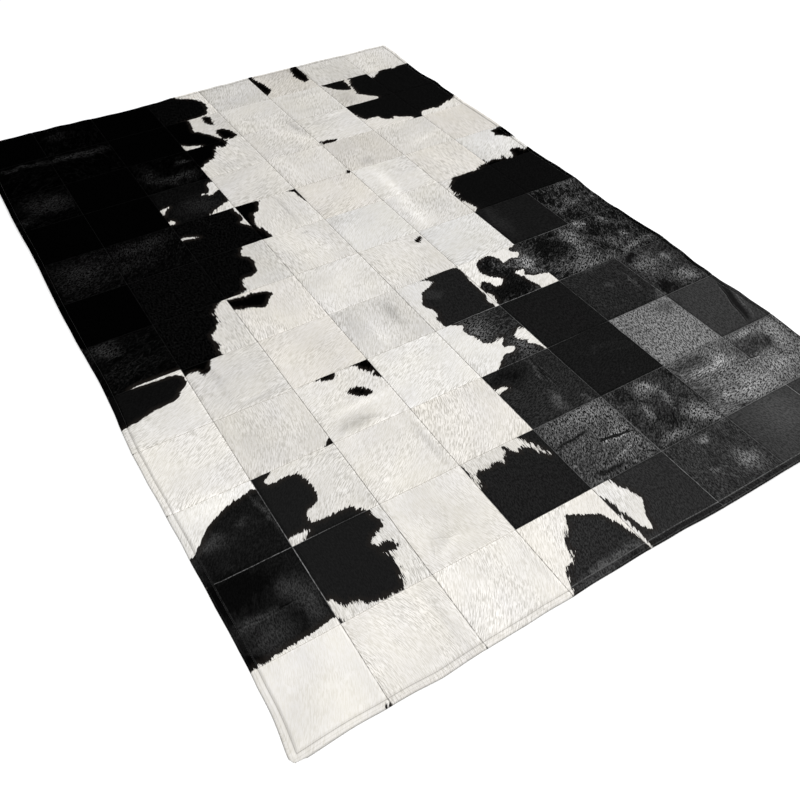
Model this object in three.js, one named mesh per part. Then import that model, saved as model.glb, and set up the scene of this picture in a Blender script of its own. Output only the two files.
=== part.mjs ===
// Patchwork rug of hair-on hide: square hide patches seamed edge to edge into one flat sheet,
// with the outer patches turned under and topstitched as a hem. Millimetres, +Z up.
// The rug lies flat on z = 0 and is centred on the origin; its long side runs along Y.
import * as THREE from "three";

// Driving dimensions.
const WIDTH = 1600; // across the columns, to the straight line that the side edges wander about
const LENGTH = 2400; // along the rows, likewise
const COLUMNS = 8;
const ROWS = 12;
const NAP_TOP = 5.5; // hide, backstitching and short flat hair together, in the field of the rug
const PATCH_CROWN = 0.5; // how much the middle of a patch stands above its rim
const SEAM_HALF_WIDTH = 8; // from the seam line to where the hair stands at full height
const SEAM_DEPTH = 1.6; // hair and hide drawn down at a seam
const HEM_SEAM_DEPTH = 0.8; // the same seam where it crosses the doubled hem
const HEM_BULGE = 1.5; // how far the fold of the hem stands out beyond its upper and lower rims
const FOLD_HEIGHT = 3; // height of the outermost line of the fold

// Cross-section of the hem from the fold inwards: the doubled hide stands high, the topstitching
// draws it down, and past it lies the single hide of the field.
const HEM_SECTION = [
  { name: "fold", inset: 2, height: 4.6 },
  { name: "crest", inset: 7, height: 6.6 },
  { name: "topstitching", inset: 15, height: 4.4 },
  { name: "field", inset: 21, height: NAP_TOP },
];

// The outer patches lose this much of their width to the hem that is turned under.
const TURNED_UNDER = { left: 16, right: 18, near: 18, far: 10 };
const COLUMN_PITCH = (WIDTH + TURNED_UNDER.left + TURNED_UNDER.right) / COLUMNS;
const ROW_PITCH = (LENGTH + TURNED_UNDER.near + TURNED_UNDER.far) / ROWS;

// How the hand-sewn edges wander: "at" counts patches from the near left corner and "out" is
// millimetres outwards from the straight edge, with a smooth run from one row to the next.
const LEFT_EDGE = [
  { at: 0, out: 2 },
  { at: 1, out: -4 },
  { at: 2.5, out: 0 },
  { at: 4, out: 5 },
  { at: 5.2, out: -4 },
  { at: 6.5, out: 2 },
  { at: 8.5, out: -1 },
  { at: 9.3, out: 2 },
  { at: 11, out: -2 },
  { at: 12, out: 0 },
];
const RIGHT_EDGE = [
  { at: 0, out: -2 },
  { at: 1.5, out: -8 },
  { at: 2.2, out: 0 },
  { at: 3, out: -6 },
  { at: 4.2, out: 10 },
  { at: 4.7, out: -1 },
  { at: 5.4, out: -4 },
  { at: 6, out: 6 },
  { at: 6.8, out: 0 },
  { at: 7.7, out: 3 },
  { at: 8.2, out: 10 },
  { at: 9.4, out: 4 },
  { at: 10, out: 8 },
  { at: 10.4, out: -1 },
  { at: 10.8, out: -1 },
  { at: 11.4, out: 14 },
  { at: 12, out: 14 },
];
const NEAR_EDGE = [
  { at: 0, out: -1 },
  { at: 1, out: 0 },
  { at: 1.5, out: 4 },
  { at: 2, out: 0 },
  { at: 4, out: -4 },
  { at: 5, out: 0 },
  { at: 8, out: 0 },
];
const FAR_EDGE = [
  { at: 0, out: 2 },
  { at: 1.5, out: 3 },
  { at: 2.5, out: -8 },
  { at: 3, out: -6 },
  { at: 3.5, out: 4 },
  { at: 4.5, out: 8 },
  { at: 5.1, out: 14 },
  { at: 5.6, out: 8 },
  { at: 6.4, out: 11 },
  { at: 7, out: 6 },
  { at: 7.6, out: 8 },
  { at: 8, out: 5 },
];

// How far an edge stands out at a place along it, easing from each table row to the next.
function wander(edge, at) {
  const next = edge.findIndex((row) => row.at >= at);
  if (next <= 0) return edge.at(next).out;
  const from = edge[next - 1];
  const to = edge[next];
  const share = THREE.MathUtils.smoothstep(at, from.at, to.at);
  return THREE.MathUtils.lerp(from.out, to.out, share);
}

// The lines of one direction, from the near (or left) edge to the far (or right) one. Each has
// its place between the straight edges, its patch count and what it is: "hem" or "rim" or
// "seam" or "crown".
function gridLines(patches, pitch, turnedUnderAtStart, span) {
  const start = HEM_SECTION.map((line) => ({ at: line.inset, kind: "hem" }));
  const end = HEM_SECTION.map((line) => ({ at: span - line.inset, kind: "hem" }));
  const lines = [...start];
  for (let patch = 0; patch < patches; patch += 1) {
    const seam = patch * pitch - turnedUnderAtStart;
    if (patch > 0) {
      lines.push({ at: seam - SEAM_HALF_WIDTH, kind: "rim" });
      lines.push({ at: seam, kind: "seam" });
      lines.push({ at: seam + SEAM_HALF_WIDTH, kind: "rim" });
    }
    lines.push({ at: seam + pitch / 2, kind: "crown" });
  }
  lines.push(...end.reverse());
  return lines;
}

// Height of the upper side over the crossing of a column line and a row line.
function upperHeight(column, row) {
  const inset = Math.min(column.at, WIDTH - column.at, row.at, LENGTH - row.at);
  const hem = HEM_SECTION.findLast((line) => line.inset <= inset + 1e-6);
  const onSeam = column.kind === "seam" || row.kind === "seam";
  const onCrown = column.kind === "crown" && row.kind === "crown";
  const inField = hem.name === "field";
  const drawnDown = onSeam ? (inField ? SEAM_DEPTH : HEM_SEAM_DEPTH) : 0;
  return hem.height + (onCrown ? PATCH_CROWN : 0) - drawnDown;
}

// Place on the floor of a crossing: the straight grid, shifted by the wander of the edges,
// which fades to nothing over the width of the outermost patch.
function planPosition(column, row, outwards) {
  const alongRows = (row.at + TURNED_UNDER.near) / ROW_PITCH;
  const alongColumns = (column.at + TURNED_UNDER.left) / COLUMN_PITCH;
  const fade = (distance, pitch) => Math.max(0, 1 - distance / pitch);
  const left = fade(column.at, COLUMN_PITCH);
  const right = fade(WIDTH - column.at, COLUMN_PITCH);
  const near = fade(row.at, ROW_PITCH);
  const far = fade(LENGTH - row.at, ROW_PITCH);
  const x =
    column.at - WIDTH / 2 +
    right * wander(RIGHT_EDGE, alongRows) -
    left * wander(LEFT_EDGE, alongRows) +
    outwards.x;
  const y =
    row.at - LENGTH / 2 +
    far * wander(FAR_EDGE, alongColumns) -
    near * wander(NEAR_EDGE, alongColumns) +
    outwards.y;
  return { x, y };
}

// The sheet is a box with a grid of lines on its upper and lower faces and one line around the
// middle of its rim. Every corner of that grid is moved to its place on the sewn rug.
function rugGeometry() {
  const columns = gridLines(COLUMNS, COLUMN_PITCH, TURNED_UNDER.left, WIDTH);
  const rows = gridLines(ROWS, ROW_PITCH, TURNED_UNDER.near, LENGTH);
  const levels = ["lower", "fold", "upper"];
  const sheet = new THREE.BoxGeometry(
    1,
    1,
    1,
    columns.length - 1,
    rows.length - 1,
    levels.length - 1,
  );
  const corners = sheet.getAttribute("position");
  for (let i = 0; i < corners.count; i += 1) {
    const u = Math.round((corners.getX(i) + 0.5) * (columns.length - 1));
    const v = Math.round((corners.getY(i) + 0.5) * (rows.length - 1));
    const level = levels[Math.round((corners.getZ(i) + 0.5) * (levels.length - 1))];
    const bulge = level === "fold" ? HEM_BULGE : 0;
    const sideX = Number(u === columns.length - 1) - Number(u === 0);
    const sideY = Number(v === rows.length - 1) - Number(v === 0);
    const place = planPosition(columns[u], rows[v], { x: sideX * bulge, y: sideY * bulge });
    const height = { lower: 0, fold: FOLD_HEIGHT, upper: upperHeight(columns[u], rows[v]) };
    corners.setXYZ(i, place.x, place.y, height[level]);
  }
  sheet.computeVertexNormals();
  return sheet;
}

// One mesh, moved so that its box is centred on the origin.
function rugMesh() {
  const hide = new THREE.MeshStandardMaterial({ color: "#dedad2", roughness: 0.75, metalness: 0 });
  const mesh = new THREE.Mesh(rugGeometry(), hide);
  mesh.name = "hide_rug";
  mesh.geometry.computeBoundingBox();
  const middle = mesh.geometry.boundingBox.getCenter(new THREE.Vector3());
  mesh.position.set(-middle.x, -middle.y, 0);
  return mesh;
}

const rug = new THREE.Group();
rug.add(rugMesh());

export default rug;
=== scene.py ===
"""Patchwork rug of hair-on hide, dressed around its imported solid.

The rug is sewn from square hide patches, 8 across and 12 long, cut from black and white cow skins.
They are made here as blocks of two by two patches. Each block is a closed thin sheet with drawn-down
seams, a slight crown on every patch and, on the outer blocks, the turned and topstitched hem.
Lengths in this script are millimetres unless a comment says otherwise; meshes are in metres.
"""
import math

import bmesh
import bpy
import numpy as np
from mathutils import Matrix, Quaternion, Vector


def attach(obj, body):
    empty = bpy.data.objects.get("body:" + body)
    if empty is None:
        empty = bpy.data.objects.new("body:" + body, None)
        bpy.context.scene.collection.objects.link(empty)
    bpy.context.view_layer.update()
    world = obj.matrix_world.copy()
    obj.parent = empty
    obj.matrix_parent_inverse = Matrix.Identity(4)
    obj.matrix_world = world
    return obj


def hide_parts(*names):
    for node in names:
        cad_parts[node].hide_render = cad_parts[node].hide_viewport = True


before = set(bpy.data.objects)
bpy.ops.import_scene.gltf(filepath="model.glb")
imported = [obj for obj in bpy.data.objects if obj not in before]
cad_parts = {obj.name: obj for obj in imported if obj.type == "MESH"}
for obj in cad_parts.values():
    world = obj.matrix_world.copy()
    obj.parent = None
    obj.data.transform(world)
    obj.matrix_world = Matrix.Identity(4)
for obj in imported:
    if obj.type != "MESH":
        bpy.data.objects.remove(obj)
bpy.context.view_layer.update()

# ---------------------------------------------------------------------------------------------
# Driving sizes of the sewn rug, in millimetres
# ---------------------------------------------------------------------------------------------
WIDTH = 1600.0
LENGTH = 2400.0
COLUMNS = 8
ROWS = 12
BLOCK = 2  # patches along each side of a sewn block
TURNED_UNDER = {"left": 16.0, "right": 18.0, "near": 18.0, "far": 10.0}
COLUMN_PITCH = (WIDTH + TURNED_UNDER["left"] + TURNED_UNDER["right"]) / COLUMNS
ROW_PITCH = (LENGTH + TURNED_UNDER["near"] + TURNED_UNDER["far"]) / ROWS
CENTRING = (-4.456, -4.865)  # the uneven edges put the middle of the box this far off the lattice
METRE = 1000.0  # in millimetres

FOLD_HEIGHT = 3.0  # height of the outermost line of the hem's fold
FOOT_TUCK = 1.6  # how far the foot of the fold is tucked in under that line
FOLD_TOLERANCE = 0.05
RIM_BAND = 25.0  # each edge of the solid wanders inside a band this wide

# Small bumps in the sewn edges: how far they stand out or in, the run of edge in which they change,
# and the power by which they die away towards the first seam.
BUMPS = {"left": 1.0, "right": 3.0, "near": 1.2, "far": 3.0}
BUMP_LENGTH = {"left": 60, "right": 52, "near": 60, "far": 46}
BUMP_FADE = 4
CORNER_DRAWN_OUT = 4.5  # how far the near left corner is drawn out to a point, along each edge
CORNER_REACH = 45.0  # how far from the corner that starts

NAP_TOP = 5.5  # hide, backstitching and short flat hair together, in the field of the rug
PATCH_CROWN = 0.6  # how much the middle of a patch stands above its rim
PATCH_LEVEL = 0.25  # how much a whole patch may stand higher or lower than the rest
LEVEL_REACH = 9.0  # from a seam line to where a patch has its own level
SEAM_DEPTH = 1.9
HEM_SEAM_DEPTH = 0.8  # the same seam where it crosses the doubled hem
SEAM_REACH = 4.2  # from a seam line to where the hair stands up again
SEAM_UNEVEN = 0.3  # the share by which a seam may be deeper or shallower
SEAM_CHANGE = 22.0  # the run of seam in which that changes
SEAM_APART = 40  # how far apart the seams lie in the noise, so that each has its own unevenness
PUCKER = 0.45  # how much the stitches gather the hide beside a seam
PUCKER_REACH = 6.0  # how far from a seam line the puckers are plainest
PUCKER_LENGTH = 9.0

# Where the hem gives way to the field, and in how wide a band.
FIELD_INSET = 10.0
FIELD_EASE = 14.0

# Loose waves in the field, and in the roll of the hem: depth, length and seed.
LOOSE_WAVES = ((0.35, 60, 15), (0.16, 17, 16))
ROLL_WAVES = ((0.5, 34, 17), (0.2, 11, 18))
ROLL_INSET = 7.0  # the crest of the hem's roll, from the edge
ROLL_REACH = 6.0  # how far from its crest the roll waves
ROLL_LIT = 5.0  # how far from its crest the roll catches the light
GROOVE_LIT = 2.5  # how far from the stitches their groove is lit or shaded

# Heights of the upper side from the fold of the hem inwards.
HEM_INSETS = (0.0, 0.8, 2.0, 4.0, 7.0, 10.0, 12.0, 13.6, 15.0, 16.2, 17.6, 20.0, 24.0, 29.0)
HEM_HEIGHTS = (
    FOLD_HEIGHT, 4.2, 5.2, 6.0, 6.4, 6.2, 5.6, 4.6, 3.9, 4.6, 5.6, 6.0, 5.7, NAP_TOP,
)
STITCH_INSET = 15.0
STITCH_PITCH = 4.2
STITCH_LENGTH = 3.4
THREAD_THICK = 0.9
THREAD_RISE = 0.2  # how far the middle of the thread stands over the bottom of the groove
GROOVE_STEP = 8.0  # from one point of the groove's path to the next

# Grid lines of a patch: close together beside a seam, then even over the field.
SEAM_STOPS = (0.0, 1.1, 2.4, 4.0, 6.2, 9.0)
FIELD_STEPS = 44

# How far distances are kept: to the edge of a marking, to a seam and to the edge of the rug.
MARKING_REACH = 25.0
SEAM_KEPT = 12.0
INSET_KEPT = 40.0


def linear(code):
    """An sRGB hex colour as linear red, green, blue and alpha."""
    channels = [int(code[i:i + 2], 16) / 255 for i in (1, 3, 5)]
    return [c / 12.92 if c <= 0.04045 else ((c + 0.055) / 1.055) ** 2.4 for c in channels] + [1.0]


# ---------------------------------------------------------------------------------------------
# The chart of the hides: which patch is what, in columns from the left and rows from the near end
# ---------------------------------------------------------------------------------------------
# Patches cut wholly from black hair.
ALL_DARK = {
    (5, 0), (6, 0), (7, 0), (4, 1), (5, 1), (6, 1), (7, 1), (5, 2), (6, 2), (7, 2),
    (5, 3), (6, 3), (7, 3), (6, 4), (7, 4), (0, 5), (6, 5), (7, 5), (0, 6), (1, 6), (7, 6),
    (0, 7), (1, 7), (0, 8), (1, 8), (0, 9), (1, 9), (2, 9), (0, 10), (1, 10), (2, 10),
    (0, 11), (1, 11), (2, 11), (4, 0), (0, 1), (4, 2), (2, 7), (2, 8),
}

# Outlines of the black markings on the other patches. Each point is a share of the patch's
# width and length from its near left corner; a point just outside runs the marking off the cut.
BLACK_MARKINGS = {
    (0, 0): [[(0.95, 0.08), (0.98, 0.13), (1.03, 0.13), (1.03, 0.06)]],
    (3, 0): [[
        (0.07, -0.05), (0.08, 0.26), (0.12, 0.34), (0.28, 0.44), (0.30, 0.55), (0.33, 0.62),
        (0.47, 0.76), (0.53, 0.87), (0.68, 0.79), (0.80, 0.73), (0.86, 0.67), (0.91, 0.55),
        (0.95, 0.42), (1.00, 0.25), (1.03, 0.00), (1.0, -0.05),
    ]],
    (1, 1): [
        [
            (-0.05, 1.05), (-0.05, 0.36), (0.04, 0.26), (0.13, 0.13), (0.25, 0.12), (0.35, 0.03),
            (0.68, 0.01), (0.76, 0.18), (0.80, 0.34), (0.78, 0.41), (0.73, 0.46), (0.80, 0.43),
            (0.91, 0.44), (0.90, 0.51), (0.82, 0.57), (0.73, 0.57), (0.69, 0.63), (0.80, 0.70),
            (0.90, 0.74), (0.90, 0.84), (0.86, 0.93), (0.82, 1.05),
        ],
        [
            (-0.02, -0.02), (0.05, -0.02), (0.00, 0.07), (-0.02, 0.07),
        ],
    ],
    (3, 1): [
        [
            (-0.05, -0.05), (1.05, -0.05), (1.05, 1.05), (0.75, 1.05), (0.79, 0.93),
            (0.85, 0.81), (0.90, 0.70), (0.92, 0.60), (0.88, 0.66), (0.83, 0.76), (0.77, 0.84),
            (0.70, 0.86), (0.64, 0.81), (0.60, 0.90), (0.55, 0.97), (0.52, 0.90), (0.46, 0.84),
            (0.42, 0.78), (0.36, 0.84), (0.25, 0.80), (0.10, 0.82), (0.05, 0.72), (0.01, 0.62),
            (-0.05, 0.60),
        ],
        [
            (-0.03, 0.75), (0.03, 0.80), (0.03, 0.95), (-0.03, 0.97),
        ],
    ],
    (0, 2): [[
        (-0.05, -0.05), (-0.05, 0.36), (0.08, 0.38), (0.15, 0.42), (0.28, 0.55), (0.36, 0.64),
        (0.45, 0.70), (0.65, 0.80), (0.80, 0.83), (1.05, 0.80), (1.05, -0.05),
    ]],
    (1, 2): [[
        (-0.05, 1.05), (0.22, 1.05), (0.22, 0.96), (0.12, 0.90), (0.15, 0.83), (0.40, 0.84),
        (0.48, 0.78), (0.52, 0.55), (0.48, 0.37), (0.38, 0.33), (0.31, 0.27), (0.30, 0.16),
        (0.50, 0.14), (0.72, 0.13), (0.77, 0.07), (0.82, -0.05), (-0.05, -0.05),
    ]],
    (1, 3): [[(0.87, -0.03), (1.03, -0.03), (1.03, 0.12), (0.96, 0.07)]],
    (2, 3): [
        [(0.28, 1.03), (0.52, 1.03), (0.53, 0.94), (0.46, 0.89), (0.34, 0.95)],
        [(0.50, 0.60), (0.58, 0.66), (0.70, 0.61), (0.77, 0.47), (0.66, 0.44), (0.55, 0.53)],
        [(0.77, 1.03), (1.03, 1.03), (1.03, 0.60), (0.91, 0.72), (0.95, 0.77), (0.85, 0.84),
         (0.82, 0.93)],
    ],
    (4, 3): [
        [
            (0.27, 1.05), (0.27, 0.95), (0.35, 0.90), (0.30, 0.82), (0.30, 0.72), (0.35, 0.62),
            (0.36, 0.52), (0.42, 0.45), (0.52, 0.43), (0.64, 0.47), (0.62, 0.40), (0.56, 0.34),
            (0.56, 0.29), (0.65, 0.25), (0.67, 0.21), (0.60, 0.17), (0.47, 0.18), (0.40, 0.12),
            (0.32, 0.04), (0.22, -0.05), (0.94, -0.05), (0.96, 0.05), (0.92, 0.14), (0.86, 0.20),
            (0.88, 0.27), (0.82, 0.30), (0.78, 0.35), (0.82, 0.42), (0.90, 0.48), (1.05, 0.53),
            (1.05, 1.05),
        ],
    ],
    (0, 4): [
        [
            (-0.05, 0.38), (0.08, 0.40), (0.33, 0.45), (0.50, 0.51), (0.72, 0.53), (0.80, 0.57),
            (0.86, 0.64), (0.97, 0.75), (0.98, 0.83), (0.98, 0.88), (0.92, 0.95), (0.800, 0.975),
            (0.600, 0.992), (0.42, 1.01), (0.40, 1.05), (-0.05, 1.05),
        ],
    ],
    (1, 4): [[
        (-0.03, 1.05), (0.35, 1.05), (0.35, 0.93), (0.31, 0.86), (0.29, 0.80), (0.20, 0.77),
        (0.14, 0.87), (-0.03, 0.88),
    ]],
    (4, 4): [
        [
            (0.400, 0.985), (0.970, 0.985), (0.965, 0.550), (0.97, 0.30), (0.92, 0.15),
            (0.88, -0.05), (0.20, -0.05), (0.15, 0.12), (0.14, 0.18), (0.20, 0.26), (0.19, 0.38),
            (0.15, 0.44), (0.15, 0.55), (0.22, 0.66), (0.28, 0.75), (0.42, 0.80), (0.52, 0.86),
            (0.45, 0.93),
        ],
    ],
    (5, 4): [
        [
            (0.03, -0.05), (0.02, 0.10), (0.04, 0.20), (0.02, 0.27), (-0.02, 0.33),
            (-0.02, 0.40), (0.02, 0.47), (0.08, 0.52), (0.15, 0.47), (0.18, 0.40), (0.19, 0.34),
            (0.27, 0.34), (0.37, 0.42), (0.30, 0.50), (0.24, 0.55), (0.22, 0.62), (0.19, 0.68),
            (0.20, 0.80), (0.27, 0.91), (0.37, 0.95), (0.47, 0.98), (0.57, 0.90), (0.60, 0.80),
            (0.60, 0.72), (0.66, 0.73), (0.74, 0.76), (0.82, 0.73), (0.88, 0.74), (0.92, 0.82),
            (0.84, 0.88), (0.86, 0.95), (0.95, 0.98), (1.05, 1.05), (1.05, 0.28), (0.87, 0.25),
            (0.75, 0.28), (0.69, 0.36), (0.73, 0.46), (0.60, 0.44), (0.64, 0.32), (0.66, 0.20),
            (0.67, -0.05),
        ],
    ],
    (1, 5): [[
        (-0.05, -0.05), (0.52, -0.05), (0.52, 0.03), (0.56, 0.20), (0.55, 0.38), (0.62, 0.45),
        (0.73, 0.58), (0.76, 0.70), (0.76, 0.81), (0.84, 0.90), (0.87, 1.05), (-0.05, 1.05),
    ]],
    (2, 5): [[
        (-0.03, 0.96), (-0.03, 0.76), (0.25, 0.62), (0.37, 0.57), (0.52, 0.72), (0.58, 0.78),
        (0.55, 0.84), (0.45, 0.90), (0.33, 0.93), (0.22, 0.92),
    ]],
    (4, 5): [[(0.81, 0.80), (0.87, 0.75), (0.93, 0.78), (0.97, 0.88), (0.90, 0.86)]],
    (2, 6): [[
        (-0.05, 1.05), (0.64, 1.05), (0.57, 0.80), (0.63, 0.72), (0.66, 0.60), (0.65, 0.45),
        (0.60, 0.33), (0.50, 0.27), (0.38, 0.27), (0.31, 0.10), (0.30, 0.03), (-0.05, 0.03),
    ]],
    (6, 6): [
        [
            (0.28, 0.98), (0.20, 0.90), (0.10, 0.82), (0.04, 0.70), (0.04, 0.55), (0.00, 0.50),
            (0.00, 0.40), (0.06, 0.20), (0.08, 0.08), (0.05, 0.00), (0.10, -0.05), (1.05, -0.05),
            (1.05, 1.05), (0.88, 1.05), (0.80, 1.00),
        ],
    ],
    (3, 7): [
        [
            (-0.05, 1.00), (0.37, 0.97), (0.33, 0.87), (0.25, 0.70), (0.15, 0.67), (0.13, 0.57),
            (0.07, 0.42), (0.12, 0.18), (0.15, -0.05), (-0.05, -0.05),
        ],
        [
            (0.86, 1.02), (1.03, 1.02), (1.01, 0.60), (0.98, 0.62), (0.965, 0.800), (0.94, 0.88),
        ],
    ],
    (4, 7): [[(0.92, 0.97), (1.00, 0.97), (1.00, 1.03), (0.92, 1.03)]],
    (6, 7): [[(0.76, -0.03), (0.80, 0.02), (0.88, 0.06), (1.03, 0.08), (1.03, -0.03)]],
    (7, 7): [
        [
            (0.66, 0.92), (0.74, 0.93), (0.85, 0.96), (0.97, 0.94), (0.97, 0.52), (0.89, 0.53),
            (0.80, 0.61), (0.74, 0.68), (0.63, 0.75), (0.67, 0.83),
        ],
        [
            (-0.05, -0.05), (-0.05, 0.14), (0.02, 0.20), (0.05, 0.10), (0.15, 0.12),
            (0.25, 0.06), (0.35, 0.12), (0.38, 0.04), (0.50, 0.04), (0.54, 0.12), (0.56, 0.21),
            (0.74, 0.22), (0.77, 0.12), (0.90, 0.16), (1.05, 0.17), (1.05, -0.05),
        ],
    ],
    (4, 8): [[(0.92, -0.03), (1.00, -0.03), (0.98, 0.04), (0.94, 0.04)]],
    (3, 9): [[
        (-0.05, 0.38), (0.20, 0.48), (0.30, 0.52), (0.37, 0.62), (0.48, 0.83), (0.58, 0.76),
        (0.63, 0.80), (0.69, 0.90), (0.70, 1.05), (-0.05, 1.05),
    ]],
    (5, 9): [[(-0.02, 0.05), (0.08, 0.11), (0.20, 0.08), (0.32, 0.04), (0.25, 0.00), (0.0, 0.02)]],
    (6, 9): [[
        (0.03, 1.05), (0.04, 0.43), (0.20, 0.39), (0.30, 0.35), (0.33, 0.28), (0.40, 0.20),
        (0.50, 0.17), (0.55, 0.23), (0.65, 0.15), (0.83, 0.05), (0.80, -0.05), (1.05, -0.05),
        (1.05, 1.05),
    ]],
    (7, 9): [[
        (-0.05, 0.10), (0.10, 0.14), (0.30, 0.15), (0.38, 0.11), (0.62, 0.22), (0.78, 0.26),
        (0.92, 0.36), (1.05, 0.40), (1.05, 1.05), (-0.05, 1.05),
    ]],
    (3, 10): [
        [
            (-0.05, 1.05), (0.38, 1.05), (0.42, 0.85), (0.35, 0.55), (0.42, 0.50), (0.46, 0.40),
            (0.55, 0.30), (0.60, 0.18), (0.65, -0.05), (-0.05, -0.05),
        ],
        [(0.65, 0.90), (0.72, 0.95), (0.79, 0.88), (0.74, 0.60), (0.68, 0.64), (0.63, 0.72)],
        [(0.72, 0.40), (0.83, 0.35), (0.91, 0.28), (0.92, 0.14), (0.96, 0.06), (0.93, 0.02),
         (0.70, 0.02), (0.66, 0.30)],
    ],
    (6, 10): [
        [(0.05, 1.02), (0.10, 0.83), (0.23, 0.65), (0.42, 0.54), (0.48, 0.80), (0.45, 1.02)],
        [
            (0.60, 1.00), (0.55, 0.85), (0.50, 0.75), (0.45, 0.40), (0.43, 0.32), (0.60, 0.15),
            (0.70, 0.03), (0.70, -0.05), (1.05, -0.05), (1.05, 1.05), (0.60, 1.05),
        ],
    ],
    (7, 10): [[
        (-0.05, -0.05), (-0.05, 0.70), (0.04, 0.80), (0.12, 0.88), (0.25, 0.95), (0.38, 1.00),
        (0.60, 0.94), (0.70, 1.00), (0.92, 1.00), (1.05, 0.95), (1.05, -0.05),
    ]],
    (3, 11): [[
        (-0.05, 1.05), (0.42, 1.05), (0.50, 0.93), (0.65, 0.80), (0.75, 0.72), (0.85, 0.63),
        (0.90, 0.52), (0.91, 0.40), (0.88, 0.30), (0.90, 0.25), (0.85, 0.17), (0.75, 0.02),
        (0.38, -0.02), (-0.05, -0.05),
    ]],
    (5, 11): [
        [(-0.02, 1.02), (0.11, 1.02), (0.08, 0.83), (0.10, 0.68), (0.17, 0.40), (0.14, 0.25),
         (0.02, 0.12), (-0.02, 0.30)],
        [(0.85, 0.88), (0.93, 0.93), (1.02, 0.90), (0.98, 0.40), (0.88, 0.27), (0.82, 0.32),
         (0.77, 0.55), (0.82, 0.83)],
    ],
}

# White markings left on patches that are otherwise black.
WHITE_MARKINGS = {
    (4, 0): [
        [
            (-0.03, 1.03), (0.22, 1.03), (0.24, 0.90), (0.31, 0.78), (0.345, 0.620),
            (0.28, 0.50), (0.22, 0.42), (0.21, 0.33), (0.17, 0.27), (0.11, 0.36), (0.09, 0.48),
            (0.06, 0.60), (0.055, 0.750), (0.02, 0.86), (-0.03, 0.90),
        ],
        [
            (-0.03, 0.05), (0.025, 0.120), (0.02, 0.50), (-0.03, 0.60),
        ],
    ],
    (0, 1): [
        [
            (0.10, 0.00), (0.500, 0.035), (0.75, 0.05), (0.99, 0.08), (1.03, -0.05),
            (0.10, -0.05),
        ],
    ],
    (1, 2): [[(-0.03, 0.08), (0.10, 0.10), (0.22, 0.09), (0.21, 0.06), (0.09, 0.00), (-0.03, -0.02)]],
    (4, 2): [[(-0.03, 0.74), (0.08, 0.72), (0.16, 0.68), (0.06, 0.65), (-0.03, 0.67)]],
    (0, 5): [
        [
            (0.41, 0.012), (0.70, 0.016), (1.030, 0.010), (1.03, -0.03), (0.41, -0.03),
        ],
    ],
    (2, 7): [
        [(-0.03, 0.62), (0.10, 0.60), (0.24, 0.52), (0.10, 0.55), (-0.03, 0.58)],
        [(0.96, 0.95), (1.03, 0.95), (1.03, 0.42), (0.99, 0.42), (0.90, 0.56), (0.98, 0.65)],
    ],
    (2, 8): [
        [(-0.03, 0.45), (0.15, 0.50), (0.05, 0.40), (-0.03, 0.28)],
        [(-0.03, 0.04), (0.08, 0.04), (0.06, 0.12), (-0.03, 0.12)],
        [(0.90, 0.82), (1.03, 0.85), (1.03, 0.65), (0.93, 0.57), (0.85, 0.50), (0.71, 0.57),
         (0.82, 0.60), (0.87, 0.70)],
        [(0.66, -0.03), (0.67, 0.03), (0.90, 0.17), (0.97, 0.20), (1.03, 0.30), (1.03, -0.03)],
    ],
    (3, 10): [
        [
            (-0.03, 0.22), (0.03, 0.15), (0.13, 0.09), (0.27, 0.03), (0.25, 0.01), (-0.03, 0.02),
        ],
    ],
}

# Kinds of black coat: the darkest and the lightest tone of the nap, how far it stands towards the
# lightest, how grainy it looks, and the tone of the seams that cross it. The lighter tones are partly
# the hides' own tone and partly painted sheen, where the nap catches the light.
COATS = {
    "jet": ("#000000", "#040404", 0.40, 0.3, "#181818"),
    "coal": ("#010101", "#222222", 0.10, 0.9, "#181818"),
    "soot": ("#020202", "#0c0c0c", 0.40, 0.8, "#1c1c1c"),
    "ebony": ("#050505", "#181818", 0.34, 0.2, "#1e1e1e"),
    "ink": ("#030303", "#262626", 0.13, 1.0, "#202020"),
    "onyx": ("#040404", "#222222", 0.20, 0.5, "#202020"),
    "pitch": ("#0c0c0c", "#202020", 0.48, 0.12, "#928f8a"),
    "tar": ("#080808", "#363636", 0.18, 0.4, "#928f8a"),
    "crow": ("#0a0a0a", "#222222", 0.40, 0.25, "#484846"),
    "raven": ("#0b0b0b", "#2a2a2a", 0.38, 0.28, "#545452"),
    "lead": ("#0d0d0d", "#424242", 0.27, 0.48, "#646462"),
    "charcoal": ("#121212", "#464646", 0.26, 0.42, "#646462"),
    "graphite": ("#161616", "#464646", 0.28, 0.30, "#646462"),
    "iron": ("#141414", "#666666", 0.21, 0.6, "#6c6c6a"),
    "pepper": ("#0f0f0f", "#707070", 0.155, 1.1, "#5c5c5a"),
    "smoke": ("#1c1c1c", "#525252", 0.34, 0.25, "#6c6c6a"),
    "sable": ("#141414", "#707070", 0.185, 0.78, "#6c6c6a"),
    "flint": ("#141414", "#606060", 0.18, 0.85, "#6c6c6a"),
    "cinder": ("#1c1c1c", "#808080", 0.25, 0.85, "#747472"),
    "ash": ("#242424", "#949494", 0.30, 0.65, "#7c7c7a"),
    "slate": ("#4c4c4c", "#888888", 0.42, 0.6, "#8c8c8a"),
}
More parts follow.
